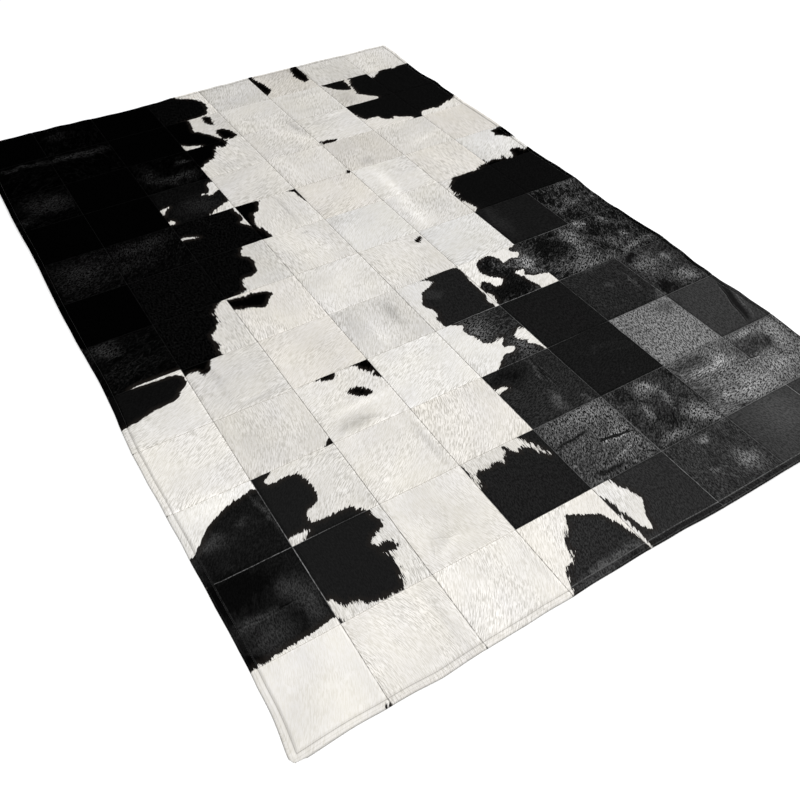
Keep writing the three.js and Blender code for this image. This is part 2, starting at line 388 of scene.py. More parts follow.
COAT_OF = {
    "ebony": [(0, 4), (6, 6), (7, 6), (6, 9), (7, 9), (7, 10), (6, 10)],
    "soot": [(1, 6), (2, 7), (2, 6), (1, 5), (3, 11)],
    "coal": [(0, 9), (2, 9), (0, 10), (1, 10), (1, 11)],
    "ink": [(0, 7), (1, 7), (0, 5)],
    "onyx": [(2, 8)],
    "pitch": [(1, 1), (1, 2)],
    "tar": [(0, 1), (0, 2)],
    "crow": [(5, 2), (5, 3), (6, 5)],
    "raven": [(3, 1), (3, 3), (4, 4)],
    "lead": [(4, 2), (6, 3)],
    "charcoal": [(3, 0)],
    "graphite": [(4, 0)],
    "pepper": [(5, 4), (6, 4), (7, 4), (7, 5)],
    "smoke": [(6, 0), (7, 0), (7, 2)],
    "iron": [(5, 0)],
    "sable": [(5, 1), (7, 3)],
    "flint": [(4, 3)],
    "cinder": [(4, 1)],
    "ash": [(6, 1), (7, 1)],
    "slate": [(6, 2)],
}
COAT = {patch: kind for kind, patches in COAT_OF.items() for patch in patches}

# Painted sheen on black hair, where the nap catches the light, and painted shade where it lies away
# from it: the place in patches, how far it reaches along the columns and the rows, and how far it
# lifts the tone towards the lightest.
PAINTED_NAP_SHEEN = [
    ((0.30, 1.40), (0.30, 0.06), 0.30), ((0.42, 1.20), (0.20, 0.12), 0.30),
    ((0.85, 1.35), (0.12, 0.22), 0.45), ((0.72, 1.28), (0.11, 0.20), -0.14),
    ((0.10, 1.10), (0.12, 0.08), -0.25), ((0.78, 1.62), (0.12, 0.10), 0.25),
    ((0.35, 1.80), (0.35, 0.20), -0.15), ((0.30, 2.42), (0.18, 0.07), 0.45),
    ((0.70, 2.50), (0.08, 0.06), 0.25), ((0.10, 2.30), (0.05, 0.20), 0.35),
    ((4.20, 1.25), (0.30, 0.20), -0.05), ((4.65, 1.85), (0.35, 0.12), 0.15),
    ((4.85, 1.50), (0.12, 0.20), 0.15),
    ((5.52, 1.82), (0.12, 0.09), 0.50), ((5.27, 1.50), (0.05, 0.13), 0.35),
    ((5.83, 1.22), (0.14, 0.13), 0.50), ((5.92, 1.08), (0.07, 0.08), 0.25),
    ((5.45, 1.35), (0.16, 0.22), -0.05), ((5.20, 1.85), (0.12, 0.14), -0.08),
    ((5.30, 1.07), (0.20, 0.05), 0.30), ((5.62, 1.62), (0.04, 0.14), 0.25),
    ((5.47, 0.90), (0.10, 0.04), 0.60), ((5.72, 0.42), (0.14, 0.12), 0.45),
    ((5.27, 0.50), (0.08, 0.05), 0.30), ((6.32, 1.86), (0.36, 0.10), -0.15),
    ((6.45, 1.64), (0.34, 0.030), 0.18), ((6.62, 1.75), (0.07, 0.16), 0.35),
    ((6.35, 1.06), (0.16, 0.03), -0.20), ((6.72, 1.25), (0.25, 0.18), 0.20),
    ((6.10, 1.40), (0.08, 0.30), -0.14), ((6.35, 1.22), (0.25, 0.03), 0.18),
    ((7.25, 1.30), (0.25, 0.14), 0.25), ((7.20, 1.70), (0.28, 0.20), -0.16),
    ((7.45, 1.62), (0.10, 0.16), -0.15), ((7.30, 1.90), (0.16, 0.05), 0.28),
    ((7.66, 1.70), (0.12, 0.20), 0.22),
    ((6.80, 2.85), (0.20, 0.14), -0.25), ((6.15, 2.65), (0.14, 0.30), -0.12),
    ((4.50, 2.20), (0.06, 0.15), 0.60), ((4.65, 2.70), (0.02, 0.26), 0.35),
    ((4.30, 2.85), (0.30, 0.16), -0.15), ((4.84, 2.06), (0.03, 0.06), 0.70),
    ((5.42, 2.125), (0.012, 0.014), 4.0), ((5.60, 2.135), (0.02, 0.012), 5.0),
    ((5.50, 2.68), (0.22, 0.03), 0.25), ((5.75, 2.55), (0.16, 0.02), 0.30),
    ((5.86, 4.55), (0.10, 0.26), 0.60), ((5.60, 4.70), (0.16, 0.10), 0.12),
    ((5.35, 4.30), (0.30, 0.25), -0.09), ((4.33, 4.67), (0.12, 0.09), 1.20),
    ((5.35, 4.15), (0.35, 0.18), -0.12), ((5.27, 4.72), (0.14, 0.14), -0.12),
    ((4.40, 3.70), (0.20, 0.25), 0.30), ((4.80, 3.20), (0.12, 0.15), 0.30),
    ((6.60, 0.70), (0.35, 0.35), 0.20), ((3.35, 0.12), (0.30, 0.06), 0.55),
    ((3.68, 0.17), (0.40, 0.04), 0.45), ((6.83, 3.48), (0.02, 0.16), 0.55),
    ((6.90, 3.06), (0.08, 0.05), 0.85), ((6.55, 3.52), (0.07, 0.05), 0.25),
    ((7.90, 3.50), (0.06, 0.50), -0.20), ((7.60, 3.20), (0.16, 0.12), 0.40),
    ((7.15, 3.12), (0.12, 0.10), -0.18), ((7.17, 3.87), (0.06, 0.06), -0.30),
    ((7.25, 3.65), (0.20, 0.20), 0.25), ((7.60, 3.66), (0.08, 0.06), 0.45),
    ((6.80, 4.75), (0.16, 0.22), 0.30), ((6.55, 4.15), (0.40, 0.14), 0.20),
    ((6.75, 4.50), (0.10, 0.20), 0.25), ((7.10, 4.93), (0.10, 0.06), 0.40),
    ((7.50, 4.85), (0.08, 0.08), 0.35), ((7.53, 4.38), (0.06, 0.05), 0.35),
    ((7.38, 4.08), (0.14, 0.06), 0.30), ((7.88, 4.50), (0.08, 0.45), -0.20),
    ((7.15, 5.35), (0.16, 0.06), 0.20), ((7.42, 5.48), (0.12, 0.10), 0.20),
    ((7.70, 5.90), (0.16, 0.10), 0.20), ((7.08, 5.80), (0.10, 0.14), -0.10),
    ((7.80, 5.40), (0.14, 0.10), 0.12), ((6.18, 5.60), (0.10, 0.40), 0.45),
    ((0.62, 9.55), (0.34, 0.24), 0.34), ((0.18, 9.20), (0.14, 0.10), 0.25),
    ((2.60, 9.25), (0.32, 0.13), 0.55), ((2.85, 9.68), (0.12, 0.04), 0.70),
    ((2.20, 9.50), (0.12, 0.30), 0.25), ((0.10, 7.30), (0.10, 0.25), -0.10),
    ((1.45, 7.72), (0.42, 0.16), 0.24), ((1.30, 7.40), (0.30, 0.14), 0.12),
    ((0.30, 5.82), (0.20, 0.14), 0.45),
    ((0.50, 5.35), (0.30, 0.15), 0.08), ((0.55, 7.50), (0.35, 0.30), 0.22),
    ((1.45, 10.80), (0.48, 0.09), 0.42), ((0.50, 10.86), (0.45, 0.06), 0.34),
    ((1.30, 11.55), (0.16, 0.14), 0.15), ((2.47, 7.85), (0.012, 0.12), 3.00),
    ((2.55, 8.35), (0.30, 0.22), 0.32), ((2.80, 8.25), (0.20, 0.16), 0.12),
    ((0.97, 2.55), (0.025, 0.30), 0.45), ((6.35, 4.70), (0.25, 0.25), -0.10),
    ((7.30, 4.30), (0.14, 0.10), 0.15), ((7.62, 4.15), (0.14, 0.06), 0.20),
    ((7.25, 4.65), (0.12, 0.12), -0.10), ((6.60, 4.02), (0.40, 0.05), 0.20),
]

# Where the pale cut edge of a seam on black hair is plainer, or hidden by the nap: the place in
# patches, how far it reaches along the columns and the rows, and the change of its strength.
SEAM_WEAR = [
    ((0.64, 2.00), (0.20, 0.04), -0.30), ((1.60, 2.00), (0.38, 0.04), -0.70),
    ((0.22, 2.00), (0.22, 0.04), -0.40),
    ((1.00, 2.55), (0.04, 0.45), -0.62), ((1.00, 1.15), (0.04, 0.20), -0.30),
    ((5.50, 4.00), (0.55, 0.04), 3.00), ((6.75, 5.00), (0.30, 0.04), 2.50),
    ((5.00, 3.25), (0.04, 0.30), 1.50), ((4.65, 4.00), (0.35, 0.04), 1.50),
    ((7.00, 0.75), (0.04, 0.35), 1.20), ((5.00, 0.50), (0.04, 0.60), 0.60),
    ((6.00, 2.50), (0.04, 0.60), 0.40), ((7.00, 2.50), (0.04, 0.60), 0.50),
    ((5.50, 2.00), (0.55, 0.04), 0.40), ((6.50, 2.00), (0.50, 0.04), 0.40),
    ((5.70, 3.00), (0.28, 0.04), -0.75), ((4.50, 1.00), (0.45, 0.04), -0.55),
    ((5.50, 1.00), (0.45, 0.04), -0.30),
]

# Painted light and shade on white hair, where a soft fold or the lie of the nap catches or loses the
# light: the place in patches, how far it reaches along the columns and the rows, and the change of
# tone.
PAINTED_FOLD_LIGHT = [
    ((5.32, 7.40), (0.13, 0.45), 0.10), ((5.20, 6.45), (0.14, 0.40), 0.10),
    ((5.65, 6.50), (0.22, 0.33), -0.10), ((5.42, 7.10), (0.05, 0.50), -0.05),
    ((3.36, 4.45), (0.04, 0.38), 0.12), ((3.72, 4.65), (0.10, 0.24), -0.20),
    ((3.14, 4.60), (0.08, 0.30), -0.08), ((3.52, 4.25), (0.05, 0.20), 0.08),
    ((3.62, 7.50), (0.022, 0.40), -0.14), ((3.70, 7.35), (0.04, 0.30), 0.05),
    ((4.55, 9.78), (0.07, 0.14), 0.08), ((4.80, 9.30), (0.08, 0.16), 0.14),
    ((4.88, 9.82), (0.05, 0.16), -0.16), ((4.96, 9.50), (0.03, 0.15), -0.10),
    ((5.72, 9.86), (0.20, 0.03), 0.12), ((5.50, 9.72), (0.20, 0.03), -0.06),
    ((1.30, 4.50), (0.05, 0.35), -0.10), ((2.38, 3.13), (0.20, 0.08), -0.30),
    ((2.60, 3.36), (0.32, 0.05), 0.12), ((1.25, 3.55), (0.22, 0.25), -0.10),
    ((2.27, 1.28), (0.13, 0.12), -0.12), ((2.52, 1.18), (0.09, 0.05), 0.06),
    ((2.90, 2.55), (0.05, 0.33), -0.12), ((2.28, 2.35), (0.20, 0.30), 0.06),
    ((5.38, 8.14), (0.13, 0.11), -0.18), ((6.60, 8.30), (0.30, 0.06), 0.09),
    ((6.30, 8.72), (0.25, 0.14), -0.05), ((4.22, 8.60), (0.08, 0.30), 0.08),
    ((4.10, 6.86), (0.14, 0.14), -0.12), ((4.10, 7.18), (0.12, 0.14), -0.13),
    ((4.62, 7.50), (0.25, 0.30), 0.05), ((3.10, 6.40), (0.06, 0.30), -0.06),
    ((3.50, 9.20), (0.30, 0.10), -0.08), ((3.80, 11.60), (0.25, 0.35), 0.13),
    ((5.82, 11.70), (0.14, 0.20), -0.14),
    ((6.40, 11.60), (0.25, 0.06), -0.10), ((7.30, 11.30), (0.25, 0.06), -0.08),
    ((4.30, 11.80), (0.25, 0.06), -0.08), ((5.50, 10.80), (0.35, 0.05), -0.10),
    ((5.40, 10.25), (0.30, 0.05), -0.08),
    ((5.50, 10.50), (0.40, 0.35), -0.05), ((6.20, 10.30), (0.15, 0.25), -0.14),
    ((1.86, 0.50), (0.04, 0.35), -0.06), ((1.35, 0.60), (0.18, 0.30), 0.04),
    ((3.30, 5.70), (0.20, 0.12), -0.07), ((3.50, 5.40), (0.10, 0.30), 0.06),
    ((0.60, 3.60), (0.30, 0.20), 0.03), ((2.60, 4.50), (0.20, 0.30), -0.04),
    ((4.50, 5.50), (0.40, 0.40), 0.035), ((0.45, 2.85), (0.35, 0.15), 0.11),
    ((5.50, 4.60), (0.50, 0.40), 0.17), ((0.60, 4.20), (0.35, 0.16), 0.06),
    ((4.40, 3.30), (0.40, 0.40), 0.04),
    ((7.60, 7.50), (0.35, 0.40), 0.15), ((3.50, 6.50), (0.40, 0.40), 0.09),
    ((7.50, 9.08), (0.45, 0.14), 0.07), ((2.50, 3.50), (0.40, 0.40), -0.05),
    ((5.50, 6.50), (0.50, 0.45), 0.045), ((4.50, 11.50), (0.50, 0.40), 0.05),
    ((4.50, 10.50), (0.50, 0.50), 0.03), ((3.40, 3.50), (0.50, 0.50), 0.02),
    ((2.50, 1.50), (0.60, 0.60), -0.02), ((0.50, 0.50), (0.60, 0.60), -0.02),
    ((6.80, 7.60), (0.15, 0.20), -0.06), ((3.50, 8.50), (0.40, 0.40), -0.04),
    ((3.60, 6.83), (0.05, 0.02), -0.35), ((3.90, 6.60), (0.04, 0.015), -0.30),
    ((0.20, 0.50), (0.30, 0.40), -0.04), ((2.60, 1.55), (0.35, 0.40), -0.06),
]

# Tone of the white hair: the general one, and the hides that stand out from it.
WHITE_HAIR = "#e8e6e2"
WHITE_VARIETY = 0.02  # the share by which any other hide may be lighter or darker
CLEAR_WHITE = {(0, 2), (2, 0), (3, 0), (0, 3), (3, 3), (4, 3), (5, 4), (6, 9), (5, 7)}
GREYER_WHITE = {
    (1, 1), (1, 2), (1, 3), (1, 4), (1, 5), (3, 4), (3, 1), (2, 6), (2, 7), (5, 8), (3, 10),
    (6, 10), (4, 11), (5, 11), (6, 11),
}
CLEAR_SHADE = 1.045
GREYER_SHADE = 0.90
WARMER_WHITE = {(5, 8), (7, 8), (5, 11), (2, 5), (2, 4), (6, 7), (6, 10), (4, 7), (3, 2), (6, 9)}
COOLER_WHITE = {(7, 7), (5, 5), (5, 4), (4, 4), (4, 3), (0, 2), (4, 0), (3, 3), (4, 6)}
WARMTH = 0.011  # how much a warmer hide's red is raised, as a share
WARM_BALANCE = (1, 0, -1.4)  # of red, green and blue

# How ragged the edges of the markings are: 1 where nothing is said.
RAGGED = {
    (0, 5): 0.2, (0, 4): 0.5, (0, 2): 0.5, (0, 1): 0.6, (0, 0): 0.5, (2, 7): 0.5, (4, 3): 0.8,
    (1, 2): 0.75, (1, 3): 0.3, (3, 1): 1.1, (4, 0): 0.85, (2, 3): 0.85, (5, 4): 0.7, (4, 4): 0.7,
}

# How ruffled the white hair is: 1 where nothing is said.
RUFFLED = {
    (0, 0): 0.35, (2, 1): 0.7, (1, 0): 1.0, (2, 0): 1.05, (3, 0): 1.1, (1, 1): 1.2, (1, 2): 1.2,
    (2, 2): 0.9, (3, 2): 1.2, (1, 3): 0.9, (4, 6): 0.8, (7, 8): 0.7, (2, 4): 0.8,
}

# How much coarser the hair is drawn with each column and row. Its clumps are too fine to show on
# the far patches at their true size.
COARSER_BY_COLUMN = 0.035
COARSER_BY_ROW = 0.05

# The lie of the hair, in degrees from +X, where it is plain; elsewhere it is drawn at random,
# between the two limits of RANDOM_LIE. FIRST_SEED starts the draws of the first patch.
RANDOM_LIE = (20, 110)
FIRST_SEED = 1000
HAIR_LIE = {
    (1, 0): 100, (2, 0): 60, (3, 2): 60, (5, 8): 55, (6, 8): 55, (2, 3): 35, (3, 3): 30,
    (2, 2): 40, (3, 1): 80, (1, 3): 75, (0, 0): 65,
}


# ---------------------------------------------------------------------------------------------
# Places and heights on the rug
# ---------------------------------------------------------------------------------------------
def lattice_stops(count, pitch, lost_at_start, lost_at_end):
    """Every grid line of one direction, from the straight edge at the start, as a place measured
    from the first lattice line, and the index of the grid line on each seam and edge."""
    inner = [pitch - s for s in reversed(SEAM_STOPS)]
    places = []
    marks = []
    for patch in range(count):
        first = list(SEAM_STOPS)
        last = list(inner)
        if patch == 0:
            first = [lost_at_start + inset for inset in HEM_INSETS]
        if patch == count - 1:
            last = [pitch - lost_at_end - inset for inset in reversed(HEM_INSETS)]
        field = np.linspace(first[-1], last[0], FIELD_STEPS + 1)[1:-1]
        marks.append(len(places))
        places += [patch * pitch + at for at in [*first, *field, *last[:-1]]]
    marks.append(len(places))
    places.append(count * pitch - lost_at_end)
    return np.array(places), marks


COLUMN_STOPS, COLUMN_MARKS = lattice_stops(
    COLUMNS, COLUMN_PITCH, TURNED_UNDER["left"], TURNED_UNDER["right"])
ROW_STOPS, ROW_MARKS = lattice_stops(
    ROWS, ROW_PITCH, TURNED_UNDER["near"], TURNED_UNDER["far"])
STRAIGHT = {
    "left": TURNED_UNDER["left"],
    "right": COLUMNS * COLUMN_PITCH - TURNED_UNDER["right"],
    "near": TURNED_UNDER["near"],
    "far": ROWS * ROW_PITCH - TURNED_UNDER["far"],
}
FIRST_LINE = (
    -WIDTH / 2 - TURNED_UNDER["left"] + CENTRING[0],
    -LENGTH / 2 - TURNED_UNDER["near"] + CENTRING[1],
)


def vertex_places(mesh):
    """The places of a mesh's vertices, a row for each."""
    places = np.empty(len(mesh.vertices) * 3)
    mesh.vertices.foreach_get("co", places)
    return places.reshape(-1, 3)


def cad_rim():
    """The outermost line of the solid's four edges, each as places along it and its position."""
    points = vertex_places(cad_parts["hide_rug"].data) * METRE
    on_fold = points[np.abs(points[:, 2] - FOLD_HEIGHT) < FOLD_TOLERANCE]
    rims = {}
    for side, along, across, sign in (
        ("left", 1, 0, -1), ("right", 1, 0, 1), ("near", 0, 1, -1), ("far", 0, 1, 1),
    ):
        reach = sign * on_fold[:, across]
        line = on_fold[reach > reach.max() - RIM_BAND]
        line = line[np.argsort(line[:, along])]
        rims[side] = (line[:, along], line[:, across])
    return rims


RIMS = cad_rim()


def smooth(share):
    """Ease a share from 0 to 1, level at both ends."""
    share = np.clip(share, 0, 1)
    return share * share * (3 - 2 * share)


def value_noise(x, y, cell, seed):
    """Smooth seeded noise from -1 to 1 over places x and y, with one value for each cell."""
    table = np.random.default_rng(seed).uniform(-1, 1, (256, 256))
    gx = np.asarray(x) / cell + 64.5
    gy = np.asarray(y) / cell + 64.5
    ix = np.floor(gx).astype(int)
    iy = np.floor(gy).astype(int)
    fx = smooth(gx - ix)
    fy = smooth(gy - iy)
    def at(a, b):
        return table[a % 256, b % 256]
    near = at(ix, iy) * (1 - fx) + at(ix + 1, iy) * fx
    far = at(ix, iy + 1) * (1 - fx) + at(ix + 1, iy + 1) * fx
    return near * (1 - fy) + far * fy


def on_the_floor(a, b):
    """Where the lattice places a and b lie on the floor: straight inside, and following the
    wandering edges over the outermost patches."""
    x = a + FIRST_LINE[0]
    y = b + FIRST_LINE[1]
    first_x, first_y = x, y
    for side, place, seam in (
        ("left", "x", COLUMN_PITCH),
        ("right", "x", (COLUMNS - 1) * COLUMN_PITCH),
        ("near", "y", ROW_PITCH),
        ("far", "y", (ROWS - 1) * ROW_PITCH),
    ):
        at = a if place == "x" else b
        along = first_y if place == "x" else first_x
        start = FIRST_LINE[0] if place == "x" else FIRST_LINE[1]
        straight = STRAIGHT[side]
        rim = np.interp(along, *RIMS[side])
        bumps = BUMPS[side] * value_noise(along, 0, BUMP_LENGTH[side], seed=41)
        share = np.clip((at - seam) / (straight - seam), 0, 1)
        moved = share * (rim - (straight + start)) + share ** BUMP_FADE * bumps
        if place == "x":
            x = x + moved
        else:
            y = y + moved
    from_corner = np.hypot(a - STRAIGHT["left"], b - STRAIGHT["near"])
    drawn_out = CORNER_DRAWN_OUT * np.exp(-(from_corner / CORNER_REACH) ** 2)
    return x - drawn_out, y - drawn_out


# Soft folds and old creases in the hides: from, to, in patches; height and half width, in
# millimetres.
CREASES = [
    ((1.25, 4.09), (2.02, 4.18), 1.3, 6),
    ((1.30, 4.03), (2.02, 4.12), -1.0, 5),
    ((2.12, 3.02), (2.30, 3.24), -1.0, 7),
    ((2.30, 3.24), (2.66, 3.06), -1.0, 7),
    ((3.42, 4.85), (3.36, 4.05), 1.0, 12),
    ((3.72, 4.90), (3.66, 4.35), -0.8, 14),
    ((5.36, 7.95), (5.18, 6.05), 1.2, 22),
    ((4.50, 9.92), (4.95, 9.10), 1.0, 12),
    ((4.80, 10.15), (4.97, 9.45), -1.0, 10),
    ((5.45, 9.68), (5.92, 9.92), 0.9, 8),
    ((5.35, 9.60), (5.85, 9.78), -0.6, 7),
    ((7.84, 2.86), (7.54, 2.04), -1.8, 9),
    ((7.90, 2.80), (7.66, 2.10), 0.9, 8),
    ((4.04, 1.60), (4.52, 1.64), -1.3, 4.5),
    ((4.50, 1.45), (4.93, 1.38), -1.6, 4.5),
    ((4.52, 1.42), (4.91, 1.35), 1.2, 4.5),
    ((4.47, 1.13), (4.95, 1.29), 1.2, 5),
    ((4.05, 1.10), (4.60, 1.05), -0.8, 6),
    ((2.02, 3.30), (2.92, 3.42), 1.0, 12),
    ((2.92, 2.10), (2.88, 2.95), -0.8, 12),
    ((2.18, 1.10), (2.52, 1.26), 1.1, 8),
    ((3.62, 7.95), (3.63, 7.10), -1.2, 7),
    ((1.84, 0.10), (1.84, 0.90), -0.6, 7),
    ((2.96, 0.10), (2.94, 0.85), -0.7, 7),
    ((1.20, 4.92), (1.38, 4.45), -0.8, 7),
    ((6.05, 8.08), (6.95, 8.42), 0.8, 12),
    ((5.55, 2.70), (5.95, 2.52), 0.5, 6),
    ((6.05, 1.68), (6.85, 1.63), 0.8, 7),
    ((0.05, 1.47), (0.60, 1.42), 0.6, 6),
]
CREASE_BOW = 5.0  # how far each bows to one side
CREASE_WAVER = 2.5  # and how far it wavers about that bow

# Sharp creases, where the nap parts, painted as a thin line of painted shade beside a painted
# highlight: from, to, in patches; how far the line bows to its right, in millimetres; and how plain
# it is.
SHARP_CREASES = [
    ((4.50, 1.465), (4.96, 1.395), 2, 1.0),
    ((4.95, 1.420), (4.52, 1.490), -2, 0.8),
    ((4.00, 1.635), (4.46, 1.660), 2, 0.4),
    ((4.50, 1.130), (4.98, 1.320), 3, 0.35),
    ((4.55, 1.200), (4.96, 1.350), 3, 0.3),
    ((4.96, 1.150), (4.965, 1.750), 2, 0.4),
    ((4.64, 2.300), (4.64, 2.960), 2, 0.5),
    ((4.71, 2.350), (4.70, 2.900), -2, 0.35),
    ((5.35, 2.620), (5.68, 2.750), 4, 0.5),
    ((5.60, 2.760), (5.98, 2.550), -4, 0.5),
    ((6.05, 1.680), (6.90, 1.665), 4, 0.6),
    ((6.08, 1.600), (6.60, 1.585), 3, 0.45),
    ((6.15, 1.540), (6.55, 1.530), 3, 0.3),
    ((6.86, 1.530), (7.20, 1.480), -7, 0.7),
    ((7.18, 1.480), (7.52, 1.420), 8, 0.7),
    ((7.83, 2.860), (7.50, 2.020), 5, 1.0),
    ((7.89, 2.700), (7.71, 2.080), 3, 0.5),
    ((7.90, 2.050), (7.88, 1.500), 3, 0.7),
    ((6.83, 3.200), (6.83, 3.650), 2, 0.5),
    ((6.88, 3.220), (6.87, 3.600), 2, 0.4),
    ((1.30, 4.070), (2.01, 4.160), -4, 1.0),
    ((2.12, 3.020), (2.30, 3.230), 5, 0.8),
    ((2.30, 3.235), (2.66, 3.080), 5, 0.9),
    ((3.22, 4.660), (3.42, 4.080), -6, 0.8),
    ((3.30, 4.860), (3.24, 4.500), 6, 0.5),
    ((0.12, 1.460), (0.62, 1.420), 3, 0.5),
    ((0.50, 1.420), (0.80, 1.430), -3, 0.4),
    ((2.30, 3.330), (2.90, 3.440), 6, 0.4),
    ((2.10, 1.110), (2.21, 1.350), 3, 0.9),
    ((2.21, 1.360), (2.52, 1.240), 4, 0.9),
    ((5.45, 9.700), (5.92, 9.940), 5, 0.6),
    ((4.80, 10.150), (4.98, 9.450), 4, 0.6),
]
SHARP_WAVER = 1.2


def along_line(a, b, start, end):
    """How far along a line in patches the places lie, as a share of it, how far to its right, and
    the length of the line."""
    p = np.array([start[0] * COLUMN_PITCH, start[1] * ROW_PITCH])
    q = np.array([end[0] * COLUMN_PITCH, end[1] * ROW_PITCH])
    run = q - p
    length = math.sqrt(run @ run)
    share = ((a - p[0]) * run[0] + (b - p[1]) * run[1]) / (run @ run)
    side = ((a - p[0]) * run[1] - (b - p[1]) * run[0]) / length
    return share, side, length


def crease_height(a, b):
    """Height of the soft folds at lattice places a and b. Each one bows a little and dies away."""
    height = np.zeros_like(a)
    for start, end, depth, reach in CREASES:
        share, side, length = along_line(a, b, start, end)
        held = np.clip(share, 0, 1)
        bow = CREASE_BOW * np.sin(held * math.pi) + CREASE_WAVER * np.sin(held * 9)
        distance = np.hypot(side + bow, (share - held) * length)
        fade = np.sin(np.clip(share, 0.02, 0.98) * math.pi) ** 0.5
        height += depth * fade * np.exp(-(distance / reach) ** 2)
    return height


def sharp_crease(a, b):
    """Millimetres to the right of the nearest sharp crease, and how plain it is there."""
    nearest = np.full_like(a, MARKING_REACH)
    plain = np.zeros_like(a)
    for start, end, bow, level in SHARP_CREASES:
        share, side, _ = along_line(a, b, start, end)
        held = np.clip(share, 0, 1)
        side = side - bow * np.sin(held * math.pi) - SHARP_WAVER * np.sin(held * 14)
        closer = (np.abs(side) < np.abs(nearest)) & (held == share)
        nearest[closer] = side[closer]
        plain[closer] = level * np.sin(held[closer] * math.pi) ** 0.5
    return nearest, plain


def seam_distance(a, b):
    """Distance to the nearest seam between columns and to the nearest one between rows, and which
    seams those are."""
    ia = np.clip(np.round(a / COLUMN_PITCH), 1, COLUMNS - 1)
    ib = np.clip(np.round(b / ROW_PITCH), 1, ROWS - 1)
    da = np.abs(a - ia * COLUMN_PITCH)
    db = np.abs(b - ib * ROW_PITCH)
    return da, db, ia, ib


def edge_inset(a, b):
    """Distance from the straight line of the nearest edge."""
    return np.minimum.reduce([
        a - STRAIGHT["left"], STRAIGHT["right"] - a, b - STRAIGHT["near"], STRAIGHT["far"] - b])


def patch_height(a, b, to_seam):
    """The crown of a patch, and the level of the whole patch against the rest."""
    u = a / COLUMN_PITCH - np.floor(a / COLUMN_PITCH)
    v = b / ROW_PITCH - np.floor(b / ROW_PITCH)
    crown = (16 * u * (1 - u) * v * (1 - v)) ** 0.5
    patch = np.floor(a / COLUMN_PITCH) * 31 + np.floor(b / ROW_PITCH) * 17
    level = PATCH_LEVEL * np.sin(patch * 12.9898)  # scattered from patch to patch
    return PATCH_CROWN * crown + level * smooth(to_seam / LEVEL_REACH)


def seam_pull(a, b, da, db, ia, ib):
    """How far the seams draw the hide down: about 1 on a seam line and 0 away from it."""
    uneven_a = 1 + SEAM_UNEVEN * value_noise(b, ia * SEAM_APART, SEAM_CHANGE, seed=11)
    uneven_b = 1 + SEAM_UNEVEN * value_noise(a, ib * SEAM_APART, SEAM_CHANGE, seed=12)
    return np.maximum(
        uneven_a * np.exp(-(da / SEAM_REACH) ** 2), uneven_b * np.exp(-(db / SEAM_REACH) ** 2))


def puckers(a, b, da, db):
    """How much the hide is gathered up or down beside its seams."""
    beside_a = np.exp(-((da - PUCKER_REACH) / PUCKER_REACH) ** 2)
    beside_b = np.exp(-((db - PUCKER_REACH) / PUCKER_REACH) ** 2)
    gather_a = value_noise(a, b, PUCKER_LENGTH, seed=13) * beside_a
    gather_b = value_noise(a, b, PUCKER_LENGTH, seed=14) * beside_b
    return gather_a + gather_b


def relief(a, b):
    """Height of the upper side at lattice places a and b."""
    inset = edge_inset(a, b)
    inside = smooth((inset - FIELD_INSET) / FIELD_EASE)
    da, db, ia, ib = seam_distance(a, b)
    height = np.interp(inset, HEM_INSETS, HEM_HEIGHTS)
    height += inside * patch_height(a, b, np.minimum(da, db))
    depth = SEAM_DEPTH * inside + HEM_SEAM_DEPTH * (1 - inside)
    height -= depth * seam_pull(a, b, da, db, ia, ib)
    height += PUCKER * inside * puckers(a, b, da, db)
    for wave, length, seed in LOOSE_WAVES:
        height += inside * wave * value_noise(a, b, length, seed)
    height += inside * crease_height(a, b)
    roll = np.exp(-((inset - ROLL_INSET) / ROLL_REACH) ** 2)
    height += roll * sum(
        wave * value_noise(a, b, length, seed) for wave, length, seed in ROLL_WAVES)
    return height


# ---------------------------------------------------------------------------------------------
# Markings
# ---------------------------------------------------------------------------------------------
def rounded(outline):
    """A closed Catmull-Rom line through the points of an outline, in millimetres."""
    p1 = np.array(outline) * (COLUMN_PITCH, ROW_PITCH)
    p0, p2, p3 = np.roll(p1, 1, 0), np.roll(p1, -1, 0), np.roll(p1, -2, 0)
    runs = []
    for t in (0.0, 0.25, 0.5, 0.75):
        runs.append(0.5 * (
            2 * p1 + (p2 - p0) * t + (2 * p0 - 5 * p1 + 4 * p2 - p3) * t * t
            + (3 * p1 - p0 - 3 * p2 + p3) * t ** 3))
    return np.stack(runs, 1).reshape(-1, 2)


def depth_inside(points, outline):
    """Signed distance of points from a closed line, positive inside it."""
    p = rounded(outline)
    q = np.roll(p, -1, 0)
    run = q - p
    to = points[:, None] - p
    share = np.clip((to * run).sum(2) / np.maximum((run * run).sum(1), 1e-9), 0, 1)
    distance = np.linalg.norm(to - share[:, :, None] * run, axis=2).min(1)
    crosses = (p[:, 1] > points[:, 1:]) != (q[:, 1] > points[:, 1:])
    rise = np.where(run[:, 1] == 0, 1e-9, run[:, 1])
    at = p[:, 0] + (points[:, 1:] - p[:, 1]) * run[:, 0] / rise
    inside = (crosses & (points[:, :1] < at)).sum(1) % 2 == 1
    return np.where(inside, distance, -distance)


def marking_depth(patch, points):
    """How deep each point of a patch, in millimetres from its corner, lies in black hair."""
    depth = np.full(len(points), MARKING_REACH if patch in ALL_DARK else -MARKING_REACH)
    for outline in BLACK_MARKINGS.get(patch, []):
        depth = np.maximum(depth, depth_inside(points, outline))
    for outline in WHITE_MARKINGS.get(patch, []):
        depth = np.minimum(depth, -depth_inside(points, outline))
    return np.clip(depth, -MARKING_REACH, MARKING_REACH)


